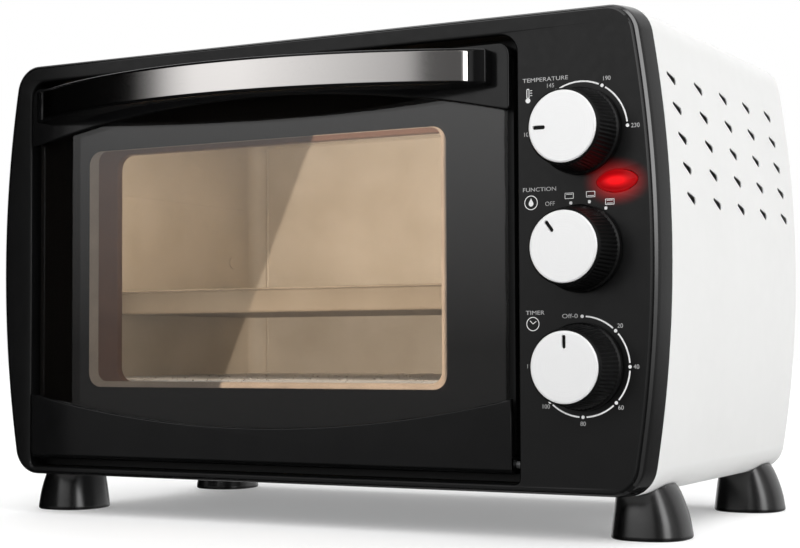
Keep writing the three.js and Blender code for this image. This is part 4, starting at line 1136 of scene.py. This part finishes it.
class Finish:
    """A procedural material: a principled shader with noise in object coordinates laid over it."""

    def __init__(self, name, color, roughness, metallic=0.0, **sockets):
        self.material = bpy.data.materials.new(name)
        self.material.use_nodes = True
        self.nodes = self.material.node_tree.nodes
        self.links = self.material.node_tree.links
        self.shader = self.nodes["Principled BSDF"]
        self.color = color
        self.shader.inputs["Base Color"].default_value = (*color, 1)
        self.shader.inputs["Roughness"].default_value = roughness
        self.shader.inputs["Metallic"].default_value = metallic
        for socket, value in sockets.items():
            self.shader.inputs[socket.replace("_", " ")].default_value = value
        self.place = self.nodes.new("ShaderNodeTexCoord").outputs["Object"]
        self.normal = None

    def stretched(self, stretch, shift=(0, 0, 0)):
        mapping = self.nodes.new("ShaderNodeMapping")
        mapping.inputs["Scale"].default_value = stretch
        mapping.inputs["Location"].default_value = shift
        self.links.new(self.place, mapping.inputs["Vector"])
        return mapping.outputs["Vector"]

    def noise(self, size, stretch=(1, 1, 1), detail=3.0, roughness=0.5):
        """Noise whose features are about so many millimetres across."""
        texture = self.nodes.new("ShaderNodeTexNoise")
        texture.inputs["Scale"].default_value = 1000.0 / size
        texture.inputs["Detail"].default_value = detail
        texture.inputs["Roughness"].default_value = roughness
        self.links.new(self.stretched(stretch), texture.inputs["Vector"])
        return texture.outputs["Fac"]

    def cells(self, size):
        texture = self.nodes.new("ShaderNodeTexVoronoi")
        texture.inputs["Scale"].default_value = 1000.0 / size
        self.links.new(self.place, texture.inputs["Vector"])
        return texture.outputs["Color"]

    def spun(self, pitch):
        """Fine rings about the object's own Y axis, as a lathe tool leaves them."""
        split = self.nodes.new("ShaderNodeSeparateXYZ")
        self.links.new(self.place, split.inputs["Vector"])
        join = self.nodes.new("ShaderNodeCombineXYZ")
        self.links.new(split.outputs["X"], join.inputs["X"])
        self.links.new(split.outputs["Z"], join.inputs["Y"])
        length = self.nodes.new("ShaderNodeVectorMath")
        length.operation = "LENGTH"
        self.links.new(join.outputs["Vector"], length.inputs[0])
        texture = self.nodes.new("ShaderNodeTexNoise")
        texture.noise_dimensions = "1D"
        texture.inputs["Scale"].default_value = 1000.0 / pitch
        texture.inputs["Detail"].default_value = 4.0
        self.links.new(length.outputs["Value"], texture.inputs["W"])
        return texture.outputs["Fac"]

    def ranged(self, source, low, high, start=0.3, end=0.7):
        span = self.nodes.new("ShaderNodeMapRange")
        self.links.new(source, span.inputs["Value"])
        for socket, value in (("From Min", start), ("From Max", end), ("To Min", low), ("To Max", high)):
            span.inputs[socket].default_value = value
        return span.outputs["Result"]

    def tint(self, source, dark, light, start=0.3, end=0.7):
        """Shade the base colour between two multiples of it."""
        ramp = self.nodes.new("ShaderNodeValToRGB")
        ramp.color_ramp.elements[0].position = start
        ramp.color_ramp.elements[1].position = end
        for element, factor in zip(ramp.color_ramp.elements, (dark, light)):
            scale = factor if isinstance(factor, tuple) else (factor,) * 3
            element.color = (*[c * s for c, s in zip(self.color, scale)], 1)
        self.links.new(source, ramp.inputs["Fac"])
        self.links.new(ramp.outputs["Color"], self.shader.inputs["Base Color"])
        return self

    def sheen(self, source, low, high, start=0.3, end=0.7):
        self.links.new(self.ranged(source, low, high, start, end), self.shader.inputs["Roughness"])
        return self

    def painted(self, axis, limit, color, centre=0.0, inside=True):
        """Paint a colour inside, or outside, a distance in mm from a centre along one of the object's axes;
        used here for painted shade.
        """
        split = self.nodes.new("ShaderNodeSeparateXYZ")
        self.links.new(self.place, split.inputs["Vector"])
        offset = math_node(self.nodes, self.links, "SUBTRACT", split.outputs[axis], centre * MM)
        span = math_node(self.nodes, self.links, "ABSOLUTE", offset)
        bare = math_node(self.nodes, self.links, "GREATER_THAN" if inside else "LESS_THAN", span, limit * MM)
        mix = self.nodes.new("ShaderNodeMix")
        mix.data_type = "RGBA"
        socket = self.shader.inputs["Base Color"]
        self.links.new(bare, mix.inputs["Factor"])
        mix.inputs["A"].default_value = (*color, 1)
        self.links.new(socket.links[0].from_socket, mix.inputs["B"])
        self.links.new(mix.outputs["Result"], socket)

    def bump(self, source, strength, height):
        """Raise the surface by a height in millimetres."""
        node = self.nodes.new("ShaderNodeBump")
        node.inputs["Strength"].default_value = strength
        node.inputs["Distance"].default_value = height * MM
        self.links.new(source, node.inputs["Height"])
        if self.normal:
            self.links.new(self.normal, node.inputs["Normal"])
        self.normal = node.outputs["Normal"]
        self.links.new(self.normal, self.shader.inputs["Normal"])
        return self


def plain(name, color, roughness, metallic=0.0, tint=None, sheen=None, bump=None, **sockets):
    """A finish of up to three noises, each (size, detail, low, high): colour, sheen and relief."""
    finish = Finish(name, color, roughness, metallic, **sockets)
    for lay, values in ((finish.tint, tint), (finish.sheen, sheen), (finish.bump, bump)):
        if values:
            size, detail, low, high = values
            lay(finish.noise(size, detail=detail), low, high)
    return finish


def satin_plastic(name="satin_black_plastic", gloss=0.2, roughness=(0.36, 0.44)):
    return plain(name, (0.0032, 0.0032, 0.0033), roughness[0], tint=(14, 3, 0.85, 1.2),
                 sheen=(5, 5, *roughness), bump=(0.45, 2, 0.3, 0.015), Specular_IOR_Level=gloss)


def bezel_plastic():
    """The panel's satin plastic, with a painted red glow round the lens: emission in the plastic that stands
    in for the lit lens's light falling on it.
    """
    finish = satin_plastic("satin_black_bezel_painted_glow", 0.38, (0.3, 0.38))
    # Painted light: red emission in the plastic, strongest at the lens and fading out over about 18 by 12
    # mm.
    glow = finish.nodes.new("ShaderNodeTexGradient")
    glow.gradient_type = "QUADRATIC_SPHERE"
    scale = [1000 / size for size in (18.5, 10.0, 12.5)]
    centre = [LENS["x"] * MM, 0.0, (LENS["z"] - 0.5) * MM]
    place = finish.stretched(scale, [-c * s for c, s in zip(centre, scale)])
    finish.links.new(place, glow.inputs["Vector"])
    finish.shader.inputs["Emission Color"].default_value = (1.0, 0.022, 0.025, 1)
    finish.links.new(finish.ranged(glow.outputs["Fac"], 0.0, 0.9, 0.0, 1.0),
                     finish.shader.inputs["Emission Strength"])
    return finish


def polished_plastic(name, gloss, roughness):
    """Black plastic from a polished part of the mould, for the bezel's rolled edge and the feet."""
    return plain(name, (0.003, 0.003, 0.0031), roughness, tint=(20, 3, 0.85, 1.15),
                 sheen=(9, 5, roughness - 0.02, roughness + 0.04), bump=(1.2, 2, 0.06, 0.006),
                 Specular_IOR_Level=gloss)


def gloss_plastic():
    return plain("gloss_black_plastic", (0.003, 0.003, 0.0031), 0.16, tint=(20, 3, 0.85, 1.15),
                 sheen=(9, 5, 0.13, 0.2), bump=(1.2, 2, 0.1, 0.008), Specular_IOR_Level=0.36)


def border_ink():
    return plain("glass_border_ink", (0.0035, 0.0035, 0.0033), 0.5, tint=(8, 3, 0.9, 1.1),
                 sheen=(3, 3, 0.45, 0.6), Specular_IOR_Level=0.06)


def seal_rubber():
    return plain("silicone_seal", (0.48, 0.38, 0.29), 0.55, tint=(18, 3, 0.9, 1.1), bump=(1, 3, 0.1, 0.02),
                 Specular_IOR_Level=0.3)


def white_powder_coat():
    return plain("white_powder_coat", (0.7, 0.7, 0.692), 0.36, tint=(60, 3, 0.985, 1.01),
                 sheen=(12, 4, 0.32, 0.42), bump=(1.1, 2, 0.1, 0.03))


def panel_ink(name, shade):
    return plain(name, (shade, shade, shade), 0.5, tint=(1.5, 3, 0.93, 1.05))


def brushed_steel():
    """Steel brushed along the strip, so its noise is stretched along X."""
    finish = Finish("brushed_stainless", (0.7, 0.675, 0.66), 0.13, 1.0)
    grain = finish.noise(0.35, (0.006, 1, 1), detail=4, roughness=0.6)
    finish.tint(grain, 0.96, 1.03)
    finish.sheen(grain, 0.1, 0.16)
    finish.bump(grain, 0.05, 0.004)
    return finish


def spun_aluminium():
    """Cap metal with the fine rings of its turning."""
    finish = Finish("spun_aluminium", (0.87, 0.87, 0.87), 0.4, 0.4)
    rings = finish.spun(0.35)
    finish.tint(rings, 0.96, 1.02)
    finish.sheen(rings, 0.32, 0.46)
    finish.bump(rings, 0.12, 0.01)
    return finish


def galvanised():
    """Zinc-coated sheet with its spangle."""
    finish = Finish("galvanised_sheet", (0.55, 0.56, 0.57), 0.38, 0.9)
    finish.tint(finish.cells(7), 0.85, 1.1, 0.2, 0.8)
    finish.sheen(finish.noise(4, detail=4), 0.32, 0.46)
    finish.bump(finish.noise(0.8), 0.1, 0.01)
    return finish


def plated_steel():
    return plain("plated_steel", (0.78, 0.76, 0.72), 0.3, 0.75, tint=(6, 4, 0.93, 1.05),
                 sheen=(3, 3, 0.26, 0.36), bump=(0.9, 3, 0.04, 0.01))


def cavity_metal():
    """Warm aluminised sheet with painted shade: black along the front flange, standing in for the shade in
    the door gap where the flange shows.
    """
    finish = Finish("cavity_steel_sheet", (0.6, 0.54, 0.45), 0.42, 0.4)
    grain = finish.noise(0.9, (1, 0.05, 1), detail=4)
    finish.tint(finish.noise(35, detail=5), (0.9, 0.88, 0.84), 1.06)
    finish.sheen(grain, 0.36, 0.5)
    finish.bump(grain, 0.08, 0.01)
    # Painted shade: the liner's front flange is coloured near-black so that the door gap reads dark.
    finish.painted("Y", CAVITY["front"] + 1.3, (0.006, 0.006, 0.006))
    return finish


def tray_metal():
    return plain("tray_steel", (0.29, 0.24, 0.18), 0.38, 0.3, tint=(30, 5, (0.9, 0.88, 0.85), 1.05),
                 sheen=(4, 4, 0.32, 0.46), bump=(1, 3, 0.06, 0.01))


def brown_enamel():
    """Brown coat of the door's inner frame, with painted shade along its two upright edges: black where they
    show in the dark gaps beside the pane.
    """
    finish = plain("brown_enamel_coat", (0.2, 0.105, 0.068), 0.35, tint=(25, 4, 0.85, 1.15),
                   sheen=(6, 3, 0.3, 0.42), bump=(3, 3, 0.08, 0.03), Specular_IOR_Level=0.3)
    # Painted shade: more than 135 mm either side of the door's middle, the frame is coloured near-black.
    finish.painted("X", 135.0, (0.003, 0.003, 0.003), DOOR_MID, inside=False)
    return finish


def element_sheath():
    return plain("heating_tube_sheath", (0.2, 0.18, 0.165), 0.45, 0.8, tint=(12, 5, 0.6, 1.2),
                 sheen=(2, 3, 0.38, 0.6))


def ceramic_body():
    return plain("steatite_ceramic", (0.78, 0.73, 0.64), 0.7, tint=(2.5, 5, 0.9, 1.05),
                 bump=(0.5, 3, 0.25, 0.03))


def nylon():
    return plain("natural_nylon", (0.7, 0.66, 0.55), 0.5, tint=(6, 3, 0.92, 1.05), bump=(0.5, 3, 0.15, 0.02))


def tinted_glass():
    """Brown-tinted pane: partly see-through, with a clear gloss over the tint."""
    finish = plain("tinted_door_glass", (0.003, 0.0022, 0.0016), 0.02, tint=(90, 3, 0.95, 1.05),
                   sheen=(40, 4, 0.015, 0.03), Alpha=0.34, IOR=2.1)
    finish.material.surface_render_method = "BLENDED"
    return finish


def red_lens():
    """Red moulding that glows towards its middle, with a darker rim."""
    finish = Finish("red_indicator_lens", (0.12, 0.001, 0.002), 0.3, Specular_IOR_Level=0.15)
    finish.shader.inputs["Emission Color"].default_value = (1.0, 0.005, 0.009, 1)
    finish.tint(finish.noise(2.5), 0.85, 1.1)
    glow = finish.nodes.new("ShaderNodeTexGradient")
    glow.gradient_type = "QUADRATIC_SPHERE"
    stretch = (1000 / LENS["half_width"], 0, 1300 / LENS["half_height"])
    finish.links.new(finish.stretched(stretch), glow.inputs["Vector"])
    finish.links.new(finish.ranged(glow.outputs["Fac"], 0.25, 0.84, 0.0, 0.35),
                     finish.shader.inputs["Emission Strength"])
    finish.bump(finish.cells(1.2), 0.15, 0.02)
    return finish


def apply_finishes():
    """Every piece takes the finish of its slot; the prints, the seal and the tray have their own."""
    finishes = {
        "satin_black": satin_plastic(), "gloss_black": gloss_plastic(), "white_shell": white_powder_coat(),
        "brushed_steel": brushed_steel(), "knob_metal": spun_aluminium(),
        "zinc_steel": galvanised(),
        "fastener_steel": plated_steel(), "cavity_steel": cavity_metal(), "dark_enamel": brown_enamel(),
        "element_steel": element_sheath(), "ceramic": ceramic_body(), "inner_plastic": nylon(),
        "door_glass": tinted_glass(), "indicator": red_lens(),
    }
    special = {"panel_prints": panel_ink("white_panel_ink", 0.8),
               "panel_captions": panel_ink("grey_caption_ink", 0.42), "glass_border_print": border_ink(),
               "window_seal": seal_rubber(), "tray_pressing": tray_metal(),
               "bezel_moulding": bezel_plastic()}
    feet = polished_plastic("polished_black_feet", 0.9, 0.24)
    for item in bpy.context.scene.objects:
        if item.type != "MESH" or item.get("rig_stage"):
            continue
        finish = special.get(item.name) or finishes.get(item.get("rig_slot", ""))
        finish = feet if item.name.startswith("foot_moulding") else finish
        if finish:
            item.data.materials.clear()
            item.data.materials.append(finish.material)
    carried = {part["node"]: part["material_slot"] for part in frame["record"]["subparts"]}
    for name, node in frame["nodes"].items():
        finish = finishes.get(carried.get(name, ""))
        if finish:
            for slot in node.material_slots:
                slot.material = finish.material


def polish_bezel_edge():
    """Give the bezel's rolled outer edge the polished finish; its flat front stays satin."""
    bezel, side, top, bottom, flat = bpy.data.objects["bezel_moulding"], 186, 7.5, 3.2, -0.998
    bezel.data.materials.append(polished_plastic("polished_black_edge", 1.0, 0.14).material)
    for face in bezel.data.polygons:
        x, _, z = (value / MM for value in face.center)
        outside = abs(x) > side or z > TOP_Z - top or z < CASING["lift"] + bottom
        if outside and face.normal.y > flat:
            face.material_index = 1


# ---------------------------------------------------------------- floor, camera and light

CAMERA = {"place": (0.4728, -0.83605, 0.0933), "yaw": 28.86, "pitch": 2.49, "roll": -0.25, "lens": 76.02}


def placed(name, data, place=(0, 0, 0), target=None):
    """An object put in the scene at a place, with its -Z turned toward a target if one is given."""
    item = bpy.data.objects.new(name, data)
    bpy.context.collection.objects.link(item)
    item.location = place
    if target is not None:
        item.rotation_mode = "QUATERNION"
        item.rotation_quaternion = (Vector(target) - Vector(place)).to_track_quat("-Z", "Y")
    return item


def card(name, corners, faces, hidden_from=()):
    """Flat faces beside the oven, in metres, that some kinds of ray don't meet."""
    data = bpy.data.meshes.new(name)
    data.from_pydata([tuple(p) for p in corners], [], faces)
    item = placed(name, data)
    for ray in hidden_from:
        setattr(item, f"visible_{ray}", False)
    item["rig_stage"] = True
    return item


def floor():
    """A wide pale floor that runs out of sight behind the oven."""
    corners = [(-6, -4, 0), (6, -4, 0), (6, 9, 0), (-6, 9, 0)]
    item = card("floor", corners, [(0, 1, 2, 3)], ("glossy",))
    finish = plain("pale_floor", (0.76, 0.76, 0.76), 0.8, tint=(400, 3, 0.995, 1.005),
                   Specular_IOR_Level=0.1, Emission_Strength=0.25)
    finish.shader.inputs["Emission Color"].default_value = (1, 1, 1, 1)
    item.data.materials.append(finish.material)


def camera():
    """The camera, turned by its yaw and pitch and then rolled about its line of sight."""
    data = bpy.data.cameras.new("camera")
    data.lens = CAMERA["lens"]
    data.sensor_width = 36
    item = placed("camera", data, CAMERA["place"])
    yaw, pitch, roll = (math.radians(CAMERA[k]) for k in ("yaw", "pitch", "roll"))
    forward = Vector((-math.sin(yaw) * math.cos(pitch), math.cos(yaw) * math.cos(pitch), math.sin(pitch)))
    right = Vector((math.cos(yaw), math.sin(yaw), 0))
    up = right.cross(forward)
    right, up = right * math.cos(roll) + up * math.sin(roll), up * math.cos(roll) - right * math.sin(roll)
    turn = Matrix((right, up, -forward)).transposed()
    item.rotation_mode = "QUATERNION"
    item.rotation_quaternion = turn.to_quaternion()
    bpy.context.scene.camera = item


def lamp(name, place, target, size, power, color=(1, 1, 1)):
    """A soft rectangular lamp aimed at a point, hidden from the camera and from reflections."""
    data = bpy.data.lights.new(name, "AREA")
    data.shape = "RECTANGLE"
    data.size, data.size_y = size
    data.energy = power
    data.color = color
    item = placed(name, data, place, target)
    item.visible_camera = False
    item.visible_glossy = False


# Brightness of the surround at compass angles: degrees from straight ahead of the oven, left negative.
SURROUND = ((-180, 1.0), (-128, 1.0), (-116, 0.0), (-57, 0.0), (-51, 0.16), (-44.5, 0.6), (-38, 0.87),
            (-25, 0.9), (-8, 0.7), (10, 0.5), (17, 0.42), (21, 0.08), (38, 0.08), (50, 0.3), (55, 2.7),
            (74, 2.7), (80, 0.4), (100, 0.4), (116, 0.3), (135, 0.7), (165, 0.7), (178, 1.0), (180, 1.0))
BRIGHTEST = 2.7


def world():
    """A white studio surround, dark at the far left and right of the front, as flags make it."""
    surround = bpy.data.worlds.new("white_surround")
    surround.use_nodes = True
    nodes, links = surround.node_tree.nodes, surround.node_tree.links
    split = nodes.new("ShaderNodeSeparateXYZ")
    links.new(nodes.new("ShaderNodeTexCoord").outputs["Generated"], split.inputs["Vector"])
    behind = math_node(nodes, links, "MULTIPLY", split.outputs["Y"], -1.0)
    angle = math_node(nodes, links, "ARCTAN2", split.outputs["X"], behind)
    turn = math_node(nodes, links, "MULTIPLY_ADD", angle, 1 / (2 * math.pi), 0.5)
    ramp = nodes.new("ShaderNodeValToRGB")
    stops = ramp.color_ramp.elements
    while len(stops) < len(SURROUND):
        stops.new(0.5)
    for stop, (degrees, value) in zip(stops, SURROUND):
        stop.position = degrees / 360 + 0.5
        stop.color = (*[value / BRIGHTEST] * 3, 1)
    links.new(turn, ramp.inputs["Fac"])
    lift = span_node(nodes, links, split.outputs["Z"], (0.0, 0.14), (0.35, 1.35))
    side = span_node(nodes, links, split.outputs["Y"], (-0.1, 0.3), (lift, 1.0))
    ground = span_node(nodes, links, split.outputs["Z"], (-0.2, -0.015), (0.3, 1.0))
    strength = math_node(nodes, links, "MULTIPLY", ramp.outputs["Color"], side)
    strength = math_node(nodes, links, "MULTIPLY", strength, ground)
    strength = math_node(nodes, links, "MULTIPLY", strength, BRIGHTEST)
    links.new(strength, nodes["Background"].inputs["Strength"])
    nodes["Background"].inputs["Color"].default_value = (1, 1, 1, 1)
    bpy.context.scene.world = surround
    bpy.context.scene.view_settings.view_transform = "Standard"
    bpy.context.scene.view_settings.look = "None"


def span_node(nodes, links, source, old, new):
    """Map a socket from one range of values onto another, whose ends are numbers or sockets."""
    node = nodes.new("ShaderNodeMapRange")
    links.new(source, node.inputs["Value"])
    for name, value in zip(("From Min", "From Max", "To Min", "To Max"), (*old, *new)):
        if isinstance(value, bpy.types.NodeSocket):
            links.new(value, node.inputs[name])
        else:
            node.inputs[name].default_value = value
    return node.outputs["Result"]


def math_node(nodes, links, operation, source, *values):
    """A math node whose first input is a socket and whose others are numbers or sockets."""
    node = nodes.new("ShaderNodeMath")
    node.operation = operation
    links.new(source, node.inputs[0])
    for socket, value in zip(node.inputs[1:], values):
        if isinstance(value, bpy.types.NodeSocket):
            links.new(value, socket)
        else:
            socket.default_value = value
    return node.outputs["Value"]


# A slanted edge across the window: its x at the window's bottom and top, mm.
BEAM = {"bottom": -49.5, "top": 10.0}
SHADE_RIM = [(-320, -60), (280, -60), (280, 420), (-320, 420)]


def window_beam():
    """A small lamp beside the camera whose shade lets light reach only the right part of the window."""
    data = bpy.data.lights.new("window_beam", "SPOT")
    data.energy = 165
    data.color = (1.0, 0.86, 0.72)
    data.spot_size = math.radians(24)
    data.spot_blend = 0.1
    data.shadow_soft_size = 0.0005
    place = Vector(CAMERA["place"])
    item = placed("window_beam", data, place, (-0.02, FACE_Y, 0.138))
    item.visible_glossy = False
    hole = [(BEAM["bottom"], CLEAR["bottom"]), (CLEAR["right"], CLEAR["bottom"]),
            (CLEAR["right"], CLEAR["top"]), (BEAM["top"], CLEAR["top"])]
    corners = [place.lerp(Vector((x * MM, FACE_Y + 0.003, z * MM)), 0.35) for x, z in SHADE_RIM + hole]
    faces = [(i, (i + 1) % 4, 4 + (i + 1) % 4, 4 + i) for i in range(4)]
    card("beam_shade", corners, faces, ("camera", "diffuse", "glossy", "transmission", "volume_scatter"))


def overhead():
    """Very soft light from straight above, which whitens the floor round the oven but not under it."""
    data = bpy.data.lights.new("overhead", "SUN")
    data.energy = 1.3
    data.angle = math.radians(90)
    placed("overhead", data, (0, 0, 2)).visible_glossy = False


def flag():
    """A black card at the front left, seen only as a dark reflection along the front's left edge."""
    right, left, height = (-0.246, -0.207), (-0.376, -0.104), 0.6
    corners = [(*right, 0), (*right, height), (*left, height), (*left, 0)]
    item = card("flag", corners, [(0, 1, 2, 3)],
                ("camera", "diffuse", "transmission", "volume_scatter", "shadow"))
    finish = plain("black_card", (0.001, 0.001, 0.001), 1.0, tint=(50, 3, 0.9, 1.1), Specular_IOR_Level=0.0)
    item.data.materials.append(finish.material)


def lights():
    """Two soft lamps outside, two just behind the door for the cavity, and the shaped light and dark."""
    behind_door = FACE_Y + 0.0135
    lamp("key", (0.7, -1.6, 1.3), (0.05, 0, 0.12), (1.0, 1.0), 11)
    lamp("side_fill", (2.0, 0.3, 0.8), (0.2, 0, 0.12), (1.0, 0.8), 1)
    lamp("upper_glow", (-0.025, behind_door, 0.178), (-0.025, 0.12, 0.178), (0.24, 0.09), 0.55,
         (1.0, 0.84, 0.66))
    lamp("lower_glow", (-0.025, behind_door, 0.1), (-0.025, 0.12, 0.1), (0.24, 0.04), 0.15, (1.0, 0.86, 0.7))
    overhead()
    flag()
    window_beam()


casing_pieces()
door_pieces()
control_pieces()
cavity_pieces()
apply_finishes()
polish_bezel_edge()
floor()
camera()
world()
lights()
